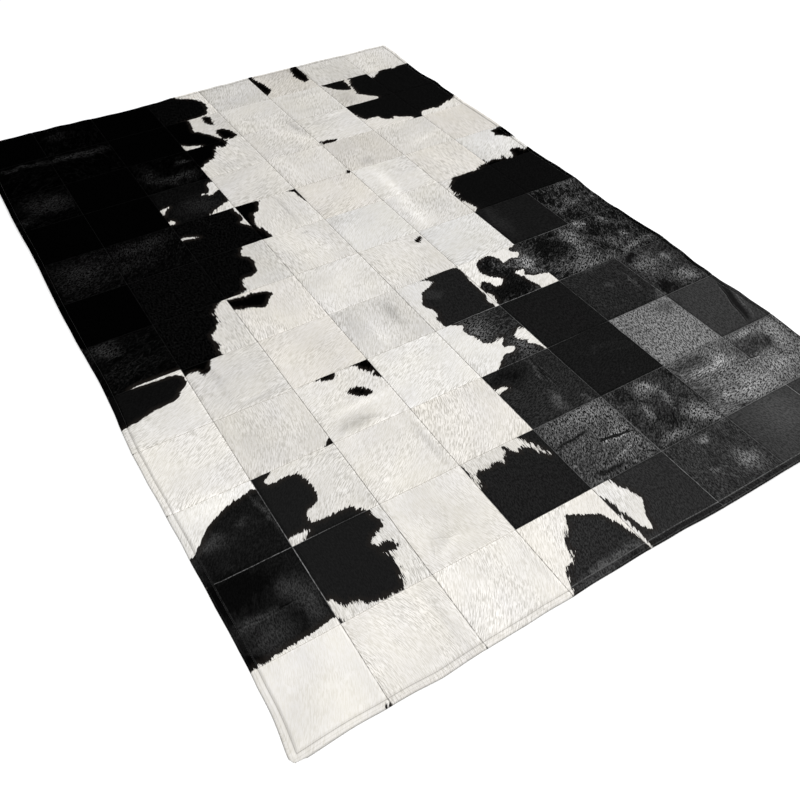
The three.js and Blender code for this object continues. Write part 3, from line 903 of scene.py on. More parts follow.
def patch_look(patch):
    """Random but fixed traits of one patch, with the plain ones from the chart."""
    column, row = patch
    draw = np.random.default_rng(FIRST_SEED + column * 50 + row)
    lie = draw.uniform(*RANDOM_LIE)
    lie = HAIR_LIE.get(patch, lie)
    shade = 1 + WHITE_VARIETY * draw.uniform(-1, 1)
    if patch in CLEAR_WHITE:
        shade = CLEAR_SHADE
    if patch in GREYER_WHITE:
        shade = GREYER_SHADE
    warmth = draw.uniform(-0.5, 0.5) + (patch in WARMER_WHITE) - (patch in COOLER_WHITE)
    white = np.array(linear(WHITE_HAIR)[:3]) * shade
    white *= 1 + WARMTH * warmth * np.array(WARM_BALANCE)
    darkest, lightest, nap, grain, seam = COATS[COAT.get(patch, "jet")]
    return {
        "lie": math.radians(lie),
        "coarse": 1 + COARSER_BY_COLUMN * column + COARSER_BY_ROW * row,
        "bend": draw.uniform(-1.6, 1.6),
        "start": draw.uniform(0, 50, 2),
        "white": white,
        "ruffle": RUFFLED.get(patch, 1.0),
        "ragged": RAGGED.get(patch, 1.0),
        "darkest": linear(darkest)[0],
        "lightest": linear(lightest)[0],
        "nap": nap,
        "grain": grain,
        "seam": linear(seam)[0],
    }


def wavered(i, j):
    """Places moved about by a tenth of a patch at most, so that a spot isn't a plain oval."""
    broad, fine = 0.16, 0.06
    di = 0.06 * value_noise(i, j, broad, seed=31) + 0.035 * value_noise(i, j, fine, seed=32)
    dj = 0.06 * value_noise(i, j, broad, seed=33) + 0.035 * value_noise(i, j, fine, seed=34)
    return i + di, j + dj


def soft_spots(table, i, j):
    """The sum of a table's soft spots at places counted in patches."""
    level = np.zeros(len(i))
    for (at_i, at_j), (reach_i, reach_j), lift in table:
        level += lift * np.exp(-((i - at_i) / reach_i) ** 2 - ((j - at_j) / reach_j) ** 2)
    return level


# ---------------------------------------------------------------------------------------------
# Materials
# ---------------------------------------------------------------------------------------------
def add(tree, kind, feeds=None, out=0, **settings):
    """Add a node with its settings and give one of its outputs. feeds holds the values or the
    sources of its inputs."""
    made = tree.nodes.new(kind)
    for name, value in settings.items():
        setattr(made, name, value)
    for socket, value in (feeds or {}).items():
        if isinstance(value, bpy.types.NodeSocket):
            tree.links.new(value, made.inputs[socket])
        else:
            made.inputs[socket].default_value = value
    return made.outputs[out]


def new_material(name):
    """A new material, its node tree and its shader."""
    material = bpy.data.materials.new(name)
    material.use_nodes = True
    tree = material.node_tree
    return material, tree, tree.nodes["Principled BSDF"]


def ramp(value, start, end, low=0.0, high=1.0):
    """Inputs of a map-range node from start..end to low..high."""
    return {"Value": value, "From Min": start, "From Max": end, "To Min": low, "To Max": high}


def hair_noise(tree, lie, length, breadth, detail=2.0, rough=0.5, distortion=0.0, out=0):
    """Noise drawn out along the lie of the hair, with a cell's length and breadth in mm."""
    placed = add(tree, "ShaderNodeMapping", {
        "Vector": lie, "Scale": (METRE / length, METRE / breadth, 1)})
    return add(tree, "ShaderNodeTexNoise", {
        "Vector": placed, "Scale": 1.0, "Detail": detail, "Roughness": rough,
        "Distortion": distortion}, noise_dimensions="2D", out=out)


def hide_sources(tree):
    """The attributes stored on the hide and the noises that several of its parts share."""
    hide = {"lie": add(tree, "ShaderNodeUVMap", uv_map="hair_lie")}
    for name in (
        "marking", "seam", "column_seam", "inset", "seam_tone", "ragged", "crease", "creased",
    ):
        hide[name] = add(tree, "ShaderNodeAttribute", attribute_name=name, out="Fac")
    for name in ("white_hair", "black_coat"):
        hide[name] = add(tree, "ShaderNodeAttribute", attribute_name=name, out="Color")
    hide["ruffle"] = add(tree, "ShaderNodeAttribute", attribute_name="white_hair", out="Alpha")
    hide["grain"] = add(tree, "ShaderNodeAttribute", attribute_name="black_coat", out="Alpha")
    for index, name in enumerate(("darkest", "lightest", "nap_sheen")):
        hide[name] = add(tree, "ShaderNodeSeparateColor", {0: hide["black_coat"]}, out=index)
    hide["clumps"] = hair_noise(tree, hide["lie"], 15, 1.8, detail=1.5, rough=0.6, distortion=0.5)
    hide["tufts"] = hair_noise(tree, hide["lie"], 20, 3.6, detail=2, rough=0.6)
    soft = hair_noise(tree, hide["lie"], 130, 90, detail=2, out="Color")
    for index, name in enumerate(("drift", "patchy", "hue")):
        hide[name] = add(tree, "ShaderNodeSeparateColor", {0: soft}, out=index)
    hide["fold"] = parted_nap(tree, hide)
    return hide


def parted_nap(tree, hide):
    """Sharp creases, painted: the painted highlight of the parted nap above 0, its painted shaded
    line below 0.
    """
    off = add(tree, "ShaderNodeMath", {0: hide["crease"]}, operation="ABSOLUTE")
    shaded = add(tree, "ShaderNodeMapRange", ramp(off, 0.6, 2.4, 1.0, 0.0))
    lip = add(tree, "ShaderNodeMath", {0: hide["crease"], 1: 3.2}, operation="SUBTRACT")
    lip = add(tree, "ShaderNodeMath", {0: lip}, operation="ABSOLUTE")
    lip = add(tree, "ShaderNodeMapRange", ramp(lip, 0.6, 2.6, 1.0, 0.0))
    fold = add(tree, "ShaderNodeMath", {0: lip, 1: shaded}, operation="SUBTRACT")
    return add(tree, "ShaderNodeMath", {0: fold, 1: hide["creased"]}, operation="MULTIPLY")


def marking_edge(tree, hide):
    """Millimetres into black hair. Tufts and single strands of one colour lie over the other."""
    strands = hair_noise(tree, hide["lie"], 16, 1.6, detail=1)
    spikes = hair_noise(tree, hide["lie"], 30, 6, detail=1)
    reach = add(tree, "ShaderNodeMath", {
        0: hide["marking"], 1: MARKING_REACH}, operation="MULTIPLY")
    tuft = add(tree, "ShaderNodeMapRange", ramp(hide["tufts"], 0.25, 0.75, -4.0, 4.0))
    strand = add(tree, "ShaderNodeMapRange", ramp(strands, 0.25, 0.75, -3.6, 3.6))
    spike = add(tree, "ShaderNodeMapRange", ramp(spikes, 0.25, 0.75, -4.0, 4.0))
    loose = add(tree, "ShaderNodeMath", {0: tuft, 1: strand}, operation="ADD")
    loose = add(tree, "ShaderNodeMath", {0: loose, 1: spike}, operation="ADD")
    ragged = add(tree, "ShaderNodeMapRange", ramp(hide["patchy"], 0.40, 0.58, 0.5, 1.05))
    ragged = add(tree, "ShaderNodeMath", {0: ragged, 1: hide["ragged"]}, operation="MULTIPLY")
    return add(tree, "ShaderNodeMath", {0: loose, 1: ragged, 2: reach}, operation="MULTIPLY_ADD")


def white_coat(tree, hide):
    """White hair: short wavy clumps where the nap is ruffled, most of all beside the seams, over
    finer streaks and a broad drift of tone, with a painted highlight on the lip beside each seam and
    painted light and shade on the sharp creases."""
    streaks = hair_noise(tree, hide["lie"], 34, 5.5, detail=2, distortion=0.7)
    waves = hair_noise(tree, hide["lie"], 42, 12, detail=2, rough=0.55, distortion=0.8)
    patchy = add(tree, "ShaderNodeMapRange", ramp(hide["patchy"], 0.40, 0.60, 0.45, 1.1))
    gathered = add(tree, "ShaderNodeMapRange", ramp(hide["seam"], 3.0, 12.0, 0.5, 0.0))
    ruffled = add(tree, "ShaderNodeMath", {0: patchy, 1: gathered}, operation="ADD")
    ruffled = add(tree, "ShaderNodeMath", {0: ruffled, 1: hide["ruffle"]}, operation="MULTIPLY")
    clump = add(tree, "ShaderNodeMapRange", ramp(hide["clumps"], 0.38, 0.57, -0.21, 0.12))
    streak = add(tree, "ShaderNodeMapRange", ramp(streaks, 0.38, 0.62, -0.012, 0.01))
    lit = add(tree, "ShaderNodeMath", {0: clump, 1: streak}, operation="ADD")
    lit = add(tree, "ShaderNodeMath", {0: lit, 1: ruffled, 2: 1.0}, operation="MULTIPLY_ADD")
    wave = add(tree, "ShaderNodeMapRange", ramp(waves, 0.30, 0.70, 0.99, 1.006))
    lit = add(tree, "ShaderNodeMath", {0: lit, 1: wave}, operation="MULTIPLY")
    broad = add(tree, "ShaderNodeMapRange", ramp(hide["drift"], 0.35, 0.65, 0.96, 1.035))
    lit = add(tree, "ShaderNodeMath", {0: lit, 1: broad}, operation="MULTIPLY")
    # Painted highlight on the lip beside each seam.
    lip = add(tree, "ShaderNodeMapRange", ramp(hide["seam"], 2.5, 6.0, 1.07, 1.0))
    lit = add(tree, "ShaderNodeMath", {0: lit, 1: lip}, operation="MULTIPLY")
    # Painted light and shade of the sharp creases.
    fold = add(tree, "ShaderNodeMath", {
        0: hide["fold"], 1: 0.10, 2: 1.0}, operation="MULTIPLY_ADD")
    lit = add(tree, "ShaderNodeMath", {0: lit, 1: fold}, operation="MULTIPLY")
    tinge = add(tree, "ShaderNodeMix", {
        0: hide["hue"], 6: linear("#fffdf8"), 7: linear("#fbfbff")}, data_type="RGBA", out=2)
    white = add(tree, "ShaderNodeVectorMath", {
        0: hide["white_hair"], 1: tinge}, operation="MULTIPLY")
    hollow = add(tree, "ShaderNodeMapRange", ramp(hide["clumps"], 0.36, 0.60, 1.0, 0.0))
    tinge = add(tree, "ShaderNodeMix", {
        0: hollow, 6: linear("#ffffff"), 7: linear("#fffefa")}, data_type="RGBA", out=2)
    white = add(tree, "ShaderNodeVectorMath", {0: white, 1: tinge}, operation="MULTIPLY")
    return add(tree, "ShaderNodeVectorMath", {0: white, "Scale": lit}, operation="SCALE")


def black_coat(tree, hide, reach):
    """Black hair: feathery clouds of painted sheen, where the nap catches the light, broken up into
    pepper and salt by the hair tips. It is darker beside a seam, with painted shade, and browner at
    the edge of a marking."""
    feathers = hair_noise(tree, hide["lie"], 26, 10, detail=5, rough=0.74, distortion=1.2)
    specks = hair_noise(tree, hide["lie"], 6.0, 2.3, detail=1.5, rough=0.65, distortion=0.5)
    # Painted sheen: the clouds, the nap of the coat with its painted sheen spots, and the sharp
    # creases set how far the tone stands towards the lightest.
    cloud = add(tree, "ShaderNodeMapRange", ramp(feathers, 0.36, 0.64, -0.10, 0.10))
    nap = add(tree, "ShaderNodeMath", {
        0: cloud, 1: hide["grain"], 2: hide["nap_sheen"]}, operation="MULTIPLY_ADD")
    nap = add(tree, "ShaderNodeMath", {0: hide["fold"], 1: 0.30, 2: nap}, operation="MULTIPLY_ADD")
    nap = add(tree, "ShaderNodeMapRange", ramp(nap, 0.10, 0.72))
    tone = add(tree, "ShaderNodeMix", {0: nap, 2: hide["darkest"], 3: hide["lightest"]})
    speck = add(tree, "ShaderNodeMapRange", ramp(specks, 0.41, 0.59, -1.15, 1.5))
    raised = add(tree, "ShaderNodeMapRange", ramp(nap, 0.0, 0.35, 0.5, 1.1))
    speck = add(tree, "ShaderNodeMath", {0: speck, 1: raised}, operation="MULTIPLY")
    speck = add(tree, "ShaderNodeMath", {
        0: speck, 1: hide["grain"], 2: 1.0}, operation="MULTIPLY_ADD")
    tone = add(tree, "ShaderNodeMath", {0: tone, 1: speck}, operation="MULTIPLY")
    # Painted shade beside each seam.
    beside = add(tree, "ShaderNodeMapRange", ramp(hide["seam"], 1.3, 7.0, 0.70, 1.0))
    tone = add(tree, "ShaderNodeMath", {0: tone, 1: beside}, operation="MULTIPLY")
    dark = add(tree, "ShaderNodeCombineColor", {0: tone, 1: tone, 2: tone})
    fringe = add(tree, "ShaderNodeMapRange", ramp(reach, 1.0, 15.0, 0.7, 0.0))
    return add(tree, "ShaderNodeMix", {
        0: fringe, 6: dark, 7: linear("#272320")}, data_type="RGBA", out=2)


def sewn_lines(tree, hide, black, colour):
    """Seams: the cut edges of the hides show as a thin broken line, pale on black hair and grey on
    white, where the grey is partly painted shade of the seam's gap. The seams between columns were
    sewn last and are the deeper ones: their line is darker with painted shade, and painted shade
    darkens the white hair beside them."""
    line = add(tree, "ShaderNodeMapRange", ramp(hide["seam"], 0.3, 1.3, 1.0, 0.0))
    worn = add(tree, "ShaderNodeMapRange", ramp(hide["tufts"], 0.40, 0.54, 0.25, 0.95))
    line = add(tree, "ShaderNodeMath", {0: line, 1: worn}, operation="MULTIPLY")
    cut = add(tree, "ShaderNodeCombineColor", {
        0: hide["seam_tone"], 1: hide["seam_tone"], 2: hide["seam_tone"]})
    deep = add(tree, "ShaderNodeMapRange", ramp(hide["column_seam"], 1.5, 3.0, 1.0, 0.0))
    # On white hair the line is partly painted shade of the seam's gap, darker in the deeper seams
    # between columns.
    gap_tone_and_shade = add(tree, "ShaderNodeMix", {
        0: deep, 6: linear("#b2ada5"), 7: linear("#5c5751")}, data_type="RGBA", out=2)
    # Painted shade on white hair beside the deeper seams.
    sunk_shade = add(tree, "ShaderNodeMapRange", ramp(hide["column_seam"], 0.5, 2.5, 0.89, 1.0))
    sunk_shade = add(tree, "ShaderNodeMix", {0: black, 2: sunk_shade, 3: 1.0})
    colour = add(tree, "ShaderNodeVectorMath", {0: colour, "Scale": sunk_shade}, operation="SCALE")
    thread = add(tree, "ShaderNodeMix", {0: black, 6: gap_tone_and_shade, 7: cut}, data_type="RGBA", out=2)
    colour = add(tree, "ShaderNodeMix", {0: line, 6: colour, 7: thread}, data_type="RGBA", out=2)
    return hem_lines(tree, hide, black, colour, cut, worn)


def hem_lines(tree, hide, black, colour, cut, worn):
    """The hem, with painted light and shade: a painted shaded groove on white hair; on black hair a
    painted highlight along the groove's lip, a painted darker roll and a fainter painted highlight
    above the foot of the fold. Painted shade darkens the rim of white hair and the places where a
    seam meets the rim, and a painted contact shadow lies along the foot of the fold."""
    # Painted shade on white hair: the groove, a thin line at the stitches and a faint line at 6.5 mm.
    from_groove = add(tree, "ShaderNodeMath", {0: hide["inset"], 1: 14.2}, operation="SUBTRACT")
    from_groove = add(tree, "ShaderNodeMath", {0: from_groove}, operation="ABSOLUTE")
    shaded = add(tree, "ShaderNodeMapRange", ramp(from_groove, 0.5, 4.5, 0.90, 1.0))
    thin = add(tree, "ShaderNodeMapRange", ramp(from_groove, 0.4, 1.4, 0.68, 1.0))
    shaded = add(tree, "ShaderNodeMath", {0: shaded, 1: thin}, operation="MULTIPLY")
    pressed = add(tree, "ShaderNodeMath", {
        0: hide["inset"], 1: 6.5, 2: 0.7}, operation="COMPARE")
    pressed = add(tree, "ShaderNodeMapRange", ramp(pressed, 0.0, 1.0, 1.0, 0.90))
    shaded = add(tree, "ShaderNodeMath", {0: shaded, 1: pressed}, operation="MULTIPLY")
    # Painted shade towards the rim of white hair.
    turned = add(tree, "ShaderNodeMapRange", ramp(hide["inset"], 0.5, 3.0, 0.70, 1.0))
    shaded = add(tree, "ShaderNodeMath", {0: shaded, 1: turned}, operation="MULTIPLY")
    # Painted shade on the roll of the hem on black hair.
    roll = add(tree, "ShaderNodeMapRange", ramp(hide["inset"], 15.0, 16.5, 0.62, 1.0))
    shaded = add(tree, "ShaderNodeMix", {0: black, 2: shaded, 3: roll})
    colour = add(tree, "ShaderNodeVectorMath", {0: colour, "Scale": shaded}, operation="SCALE")
    # Painted highlights on black hair, in the seam tone: along the groove's lip and, fainter, above
    # the foot.
    lip = add(tree, "ShaderNodeMath", {
        0: hide["inset"], 1: 17.0, 2: 0.9}, operation="COMPARE")
    low = add(tree, "ShaderNodeMath", {
        0: hide["inset"], 1: 3.6, 2: 0.9}, operation="COMPARE")
    low = add(tree, "ShaderNodeMath", {0: low, 1: 0.4}, operation="MULTIPLY")
    pale = add(tree, "ShaderNodeMath", {0: lip, 1: low}, operation="MAXIMUM")
    pale = add(tree, "ShaderNodeMath", {0: pale, 1: black}, operation="MULTIPLY")
    pale = add(tree, "ShaderNodeMath", {0: pale, 1: worn}, operation="MULTIPLY")
    colour = add(tree, "ShaderNodeMix", {0: pale, 6: colour, 7: cut}, data_type="RGBA", out=2)
    # Painted shade where a seam meets the rim, and a painted contact shadow at the foot of the fold.
    notch = add(tree, "ShaderNodeMapRange", ramp(hide["seam"], 1.0, 2.6, 0.8, 0.0))
    rim = add(tree, "ShaderNodeMapRange", ramp(hide["inset"], 2.5, 5.0, 1.0, 0.0))
    notch = add(tree, "ShaderNodeMath", {0: notch, 1: rim}, operation="MULTIPLY")
    foot = add(tree, "ShaderNodeMapRange", ramp(hide["inset"], 1.0, -0.8, 0.0, 0.9))
    shade = add(tree, "ShaderNodeMath", {0: notch, 1: foot}, operation="MAXIMUM")
    return add(tree, "ShaderNodeMix", {
        0: shade, 6: colour, 7: linear("#45423e")}, data_type="RGBA", out=2)


def hair_on_cowhide():
    """Chrome-tanned cowhide with its short hair left on: hairs about 12 mm long lying flat. Single
    hairs are too fine to show, so the hair is drawn as clumps about 2 mm wide and 15 mm long, and
    coarser on the patches further along the rug."""
    material, tree, shader = new_material("hair-on cowhide")
    hide = hide_sources(tree)
    reach = marking_edge(tree, hide)
    black = add(tree, "ShaderNodeMapRange", ramp(reach, -0.6, 0.6))
    white_hair = white_coat(tree, hide)
    black_hair = black_coat(tree, hide, reach)
    colour = add(tree, "ShaderNodeMix", {
        0: black, 6: white_hair, 7: black_hair}, data_type="RGBA", out=2)
    colour = sewn_lines(tree, hide, black, colour)
    lie_of_clumps = add(tree, "ShaderNodeMath", {
        0: hide["clumps"], 1: hide["ruffle"]}, operation="MULTIPLY")
    bump = add(tree, "ShaderNodeBump", {
        "Height": lie_of_clumps, "Strength": 0.9, "Distance": 0.0010})
    tree.links.new(colour, shader.inputs["Base Color"])
    tree.links.new(bump, shader.inputs["Normal"])
    shader.inputs["Roughness"].default_value = 0.62
    shader.inputs["Specular IOR Level"].default_value = 0.0
    return material


def flesh_side():
    """The suede flesh side of the skins, buffed: pale grey-beige and quite matt."""
    material, tree, shader = new_material("suede flesh side")
    place = add(tree, "ShaderNodeTexCoord", out="Object")
    fuzz = add(tree, "ShaderNodeTexNoise", {"Vector": place, "Scale": 260.0, "Detail": 3.0})
    colour = add(tree, "ShaderNodeMix", {
        0: fuzz, 6: linear("#b9ae9d"), 7: linear("#d8cfc0")}, data_type="RGBA", out=2)
    bump = add(tree, "ShaderNodeBump", {"Height": fuzz, "Strength": 0.3, "Distance": 0.0005})
    tree.links.new(colour, shader.inputs["Base Color"])
    tree.links.new(bump, shader.inputs["Normal"])
    shader.inputs["Roughness"].default_value = 0.9
    shader.inputs["Specular IOR Level"].default_value = 0.15
    return material


# ---------------------------------------------------------------------------------------------
# The blocks of patches
# ---------------------------------------------------------------------------------------------
UPPER, LOWER = 0, 1  # the slots of the two materials
LEFT_HEM_BAND = 20.0  # inside this, the seams on the left hem hardly show
LEFT_HEM_SEAM = 0.08
FOLD_PAINTED_LIGHT_ON_WHITE = 0.10  # painted light: how much a millimetre of fold height lightens white hair
FOLD_PAINTED_SHEEN_ON_BLACK = 0.22  # and how much, as painted sheen, it lifts the nap of black hair


def new_object(name, data):
    """A new object in the scene, unturned and at the origin."""
    made = bpy.data.objects.new(name, data)
    bpy.context.scene.collection.objects.link(made)
    return made


def mesh_from(bm, name):
    """A mesh from a finished bmesh."""
    mesh = bpy.data.meshes.new(name)
    bm.to_mesh(mesh)
    bm.free()
    return mesh


def thin_slab(columns, rows):
    """A closed slab: a fine grid on top, walls down its rim and one face underneath. The grid
    lines are a unit apart, the top lies at height 1 and the underside at 0."""
    bm = bmesh.new()
    bmesh.ops.create_grid(bm, x_segments=columns, y_segments=rows, size=0.5)
    bmesh.ops.translate(bm, verts=bm.verts, vec=(0.5, 0.5, 1))
    bmesh.ops.scale(bm, verts=bm.verts, vec=(columns, rows, 1))
    rim = [edge for edge in bm.edges if edge.is_boundary]
    wall = bmesh.ops.extrude_edge_only(bm, edges=rim)["geom"]
    foot = [part for part in wall if isinstance(part, bmesh.types.BMVert)]
    bmesh.ops.translate(bm, verts=foot, vec=(0, 0, -1))
    foot_edges = [edge for edge in bm.edges if edge.is_boundary]
    underside = bmesh.ops.edgeloop_fill(bm, edges=foot_edges)["faces"]
    bmesh.ops.recalc_face_normals(bm, faces=bm.faces)
    for face in bm.faces:
        face.smooth = face not in underside
        face.material_index = UPPER
    for face in underside:
        face.material_index = LOWER
    return mesh_from(bm, "block")


def drape(mesh, first_column, first_row):
    """Move the slab's unit grid to its place on the rug. Returns the lattice place of each
    vertex and how far it lies inside the edge; the foot of the fold lies a little below zero."""
    points = vertex_places(mesh)
    a = COLUMN_STOPS[np.round(points[:, 0]).astype(int) + first_column]
    b = ROW_STOPS[np.round(points[:, 1]).astype(int) + first_row]
    on_top = points[:, 2] > 0.5
    x, y = on_the_floor(a, b)
    tuck_x = (a == STRAIGHT["left"]) * FOOT_TUCK - (a == STRAIGHT["right"]) * FOOT_TUCK
    tuck_y = (b == STRAIGHT["near"]) * FOOT_TUCK - (b == STRAIGHT["far"]) * FOOT_TUCK
    x = np.where(on_top, x, x + tuck_x)
    y = np.where(on_top, y, y + tuck_y)
    z = np.where(on_top, relief(a, b), 0)
    mesh.vertices.foreach_set("co", (np.stack([x, y, z], 1) / METRE).ravel())
    inset = np.where(on_top, edge_inset(a, b), -FOLD_HEIGHT)
    return a, b, inset


def patch_counts(a, b):
    """The column and the row of the patch at lattice places a and b."""
    return np.floor(a / COLUMN_PITCH).astype(int), np.floor(b / ROW_PITCH).astype(int)


def patches_among(column, row, a, b):
    """Each patch that occurs, which of the places are its own, and where those lie in it."""
    for patch in sorted(set(zip(column.tolist(), row.tolist()))):
        own = (column == patch[0]) & (row == patch[1])
        yield patch, own, a[own] - patch[0] * COLUMN_PITCH, b[own] - patch[1] * ROW_PITCH


def corner_patches(mesh, a, b):
    """The vertex of every face corner, and the column and the row that its face lies in."""
    vertex = np.empty(len(mesh.loops), int)
    mesh.loops.foreach_get("vertex_index", vertex)
    total = np.empty(len(mesh.polygons), int)
    mesh.polygons.foreach_get("loop_total", total)
    face = np.repeat(np.arange(len(total)), total)
    middle_a = np.bincount(face, a[vertex]) / total
    middle_b = np.bincount(face, b[vertex]) / total
    column, row = patch_counts(middle_a, middle_b)
    return vertex, column[face].clip(0, COLUMNS - 1), row[face].clip(0, ROWS - 1)


def hair_map(look, u, v):
    """A map of a patch that runs along the lie of its hair, in metres."""
    s = (u - COLUMN_PITCH / 2) / METRE
    t = (v - ROW_PITCH / 2) / METRE
    along = s * math.cos(look["lie"]) + t * math.sin(look["lie"])
    across = t * math.cos(look["lie"]) - s * math.sin(look["lie"])
    across = across + look["bend"] * along * along
    return np.stack([along, across], 1) / look["coarse"] + look["start"]


def seam_shown(a, i, j):
    """How plain the cut edge of a seam is at places along it."""
    shown = np.clip(1 + soft_spots(SEAM_WEAR, i, j), 0.05, 4)
    return shown * np.where(a < STRAIGHT["left"] + LEFT_HEM_BAND, LEFT_HEM_SEAM, 1)


def colour_corners(mesh, a, b, inset):
    """Store, at every face corner, what the hide is there: depth in a marking, distance to the seam
    and the edge, the colours of its patch with their painted light, shade and sheen, and a map that
    runs along the lie of the hair."""
    vertex, column, row = corner_patches(mesh, a, b)
    count = len(vertex)
    ca, cb = a[vertex], b[vertex]
    da, db, _, _ = seam_distance(ca, cb)
    seam = np.minimum(np.minimum(da, db), SEAM_KEPT)
    crease, creased = sharp_crease(ca, cb)
    marking = np.zeros(count)
    seam_tone = np.zeros(count)
    ragged = np.zeros(count)
    lie = np.zeros((count, 2))
    white = np.ones((count, 4))
    coat = np.ones((count, 4))
    for patch, own, u, v in patches_among(column, row, ca, cb):
        look = patch_look(patch)
        i = ca[own] / COLUMN_PITCH
        j = cb[own] / ROW_PITCH
        fold = crease_height(ca[own], cb[own])
        marking[own] = marking_depth(patch, np.stack([u, v], 1)) / MARKING_REACH
        ragged[own] = look["ragged"]
        lie[own] = hair_map(look, u, v)
        seam_tone[own] = look["seam"] * seam_shown(ca[own], i, j)
        # Painted light and shade on white hair: soft folds, the height of the creases, and the hem's
        # roll and groove.
        lit = 1 + soft_spots(PAINTED_FOLD_LIGHT, i, j) + FOLD_PAINTED_LIGHT_ON_WHITE * fold
        lit = lit + hem_light(ca[own], cb[own])
        white[own, :3] = look["white"] * lit[:, None]
        white[own, 3] = look["ruffle"]
        coat[own, 0] = look["darkest"]
        coat[own, 1] = look["lightest"]
        # Painted sheen on black hair: the coat's nap, lifted or lowered by the painted sheen spots
        # and the height of the creases.
        coat[own, 2] = look["nap"] + soft_spots(PAINTED_NAP_SHEEN, *wavered(i, j)) + FOLD_PAINTED_SHEEN_ON_BLACK * fold
        coat[own, 3] = look["grain"]
    mesh.uv_layers.new(name="hair_lie").uv.foreach_set("vector", lie.ravel())
    for name, kind, values in (
        ("marking", "FLOAT", marking),
        ("seam", "FLOAT", seam),
        ("inset", "FLOAT", np.minimum(inset[vertex], INSET_KEPT)),
        ("column_seam", "FLOAT", np.minimum(da, SEAM_KEPT)),
        ("seam_tone", "FLOAT", seam_tone),
        ("ragged", "FLOAT", ragged),
        ("crease", "FLOAT", crease),
        ("creased", "FLOAT", creased),
        ("white_hair", "FLOAT_COLOR", white),
        ("black_coat", "FLOAT_COLOR", coat),
    ):
        layer = mesh.attributes.new(name, kind, "CORNER")
        layer.data.foreach_set("value" if kind == "FLOAT" else "color", values.ravel())


def hem_light(a, b):
    """Painted light and shade on the roll and the groove of each hem: how much lighter or darker they
    are. The far and the right roll face the light and get a painted highlight, their grooves painted
    shade."""
    change = np.zeros(len(a))
    for inset, roll, groove in (
        (STRAIGHT["far"] - b, 0.17, -0.20), (STRAIGHT["right"] - a, 0.17, -0.20),
        (b - STRAIGHT["near"], -0.02, 0.05), (a - STRAIGHT["left"], -0.03, -0.06),
    ):
        change += roll * np.exp(-((inset - ROLL_INSET) / ROLL_LIT) ** 2)
        change += groove * np.exp(-((inset - STITCH_INSET) / GROOVE_LIT) ** 2)
    return change


def hide_block(across, along, materials):
    """One block of patches, counted from the near left corner of the rug."""
    first_column = COLUMN_MARKS[across * BLOCK]
    last_column = COLUMN_MARKS[(across + 1) * BLOCK]
    first_row = ROW_MARKS[along * BLOCK]
    last_row = ROW_MARKS[(along + 1) * BLOCK]
    mesh = thin_slab(last_column - first_column, last_row - first_row)
    a, b, inset = drape(mesh, first_column, first_row)
    colour_corners(mesh, a, b, inset)
    for material in materials:
        mesh.materials.append(material)
    block = new_object(f"hide_block_{across + 1}_{along + 1}", mesh)
    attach(block, "root")
    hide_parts("hide_rug")


# ---------------------------------------------------------------------------------------------
# Topstitching of the hem
# ---------------------------------------------------------------------------------------------
def polyester_thread():
    """Sewing thread in the bottom of the groove, matched to the hair beside it."""
    material, tree, shader = new_material("polyester sewing thread")
    tone = add(tree, "ShaderNodeAttribute", attribute_name="thread", out="Fac")
    colour = add(tree, "ShaderNodeMix", {
        0: tone, 6: linear("#c4c0ba"), 7: linear("#1c1c1b")}, data_type="RGBA", out=2)
    tree.links.new(colour, shader.inputs["Base Color"])
    shader.inputs["Roughness"].default_value = 0.5
    shader.inputs["IOR"].default_value = 1.5
    return material


def groove_path():
    """Lattice places along the groove of the hem, once round the rug."""
    left = STRAIGHT["left"] + STITCH_INSET
    right = STRAIGHT["right"] - STITCH_INSET
    near = STRAIGHT["near"] + STITCH_INSET
    far = STRAIGHT["far"] - STITCH_INSET
    corners = [(left, near), (right, near), (right, far), (left, far), (left, near)]
    runs = []
    for (a0, b0), (a1, b1) in zip(corners, corners[1:]):
        steps = int(max(abs(a1 - a0), abs(b1 - b0)) / GROOVE_STEP)
        share = np.arange(steps) / steps
        runs.append(np.stack([a0 + (a1 - a0) * share, b0 + (b1 - b0) * share], 1))
    return np.concatenate(runs)


def path_curve():
    """A closed curve along the bottom of the groove, which the stitches follow."""
    place = groove_path()
    x, y = on_the_floor(place[:, 0], place[:, 1])
    z = relief(place[:, 0], place[:, 1]) + THREAD_RISE
    curve = bpy.data.curves.new("groove", "CURVE")
    curve.dimensions = "3D"
    line = curve.splines.new("POLY")
    line.points.add(len(x) - 1)
    weight = np.ones(len(x))
    at = np.stack([x / METRE, y / METRE, z / METRE, weight], 1)
    line.points.foreach_set("co", at.ravel())
    line.use_cyclic_u = True
    return new_object("groove", curve)


def one_stitch():
    """One stitch: a long bead of thread that lies along X."""
    bm = bmesh.new()
    bmesh.ops.create_uvsphere(bm, u_segments=6, v_segments=4, radius=0.5)
    turn = Matrix.Rotation(math.pi / 2, 3, "Y")
    bmesh.ops.rotate(bm, verts=bm.verts, cent=(0, 0, 0), matrix=turn)
    size = (STITCH_LENGTH / METRE, THREAD_THICK / METRE, THREAD_THICK / METRE)
    bmesh.ops.scale(bm, verts=bm.verts, vec=size)
    for face in bm.faces:
        face.smooth = True
    return mesh_from(bm, "stitch")


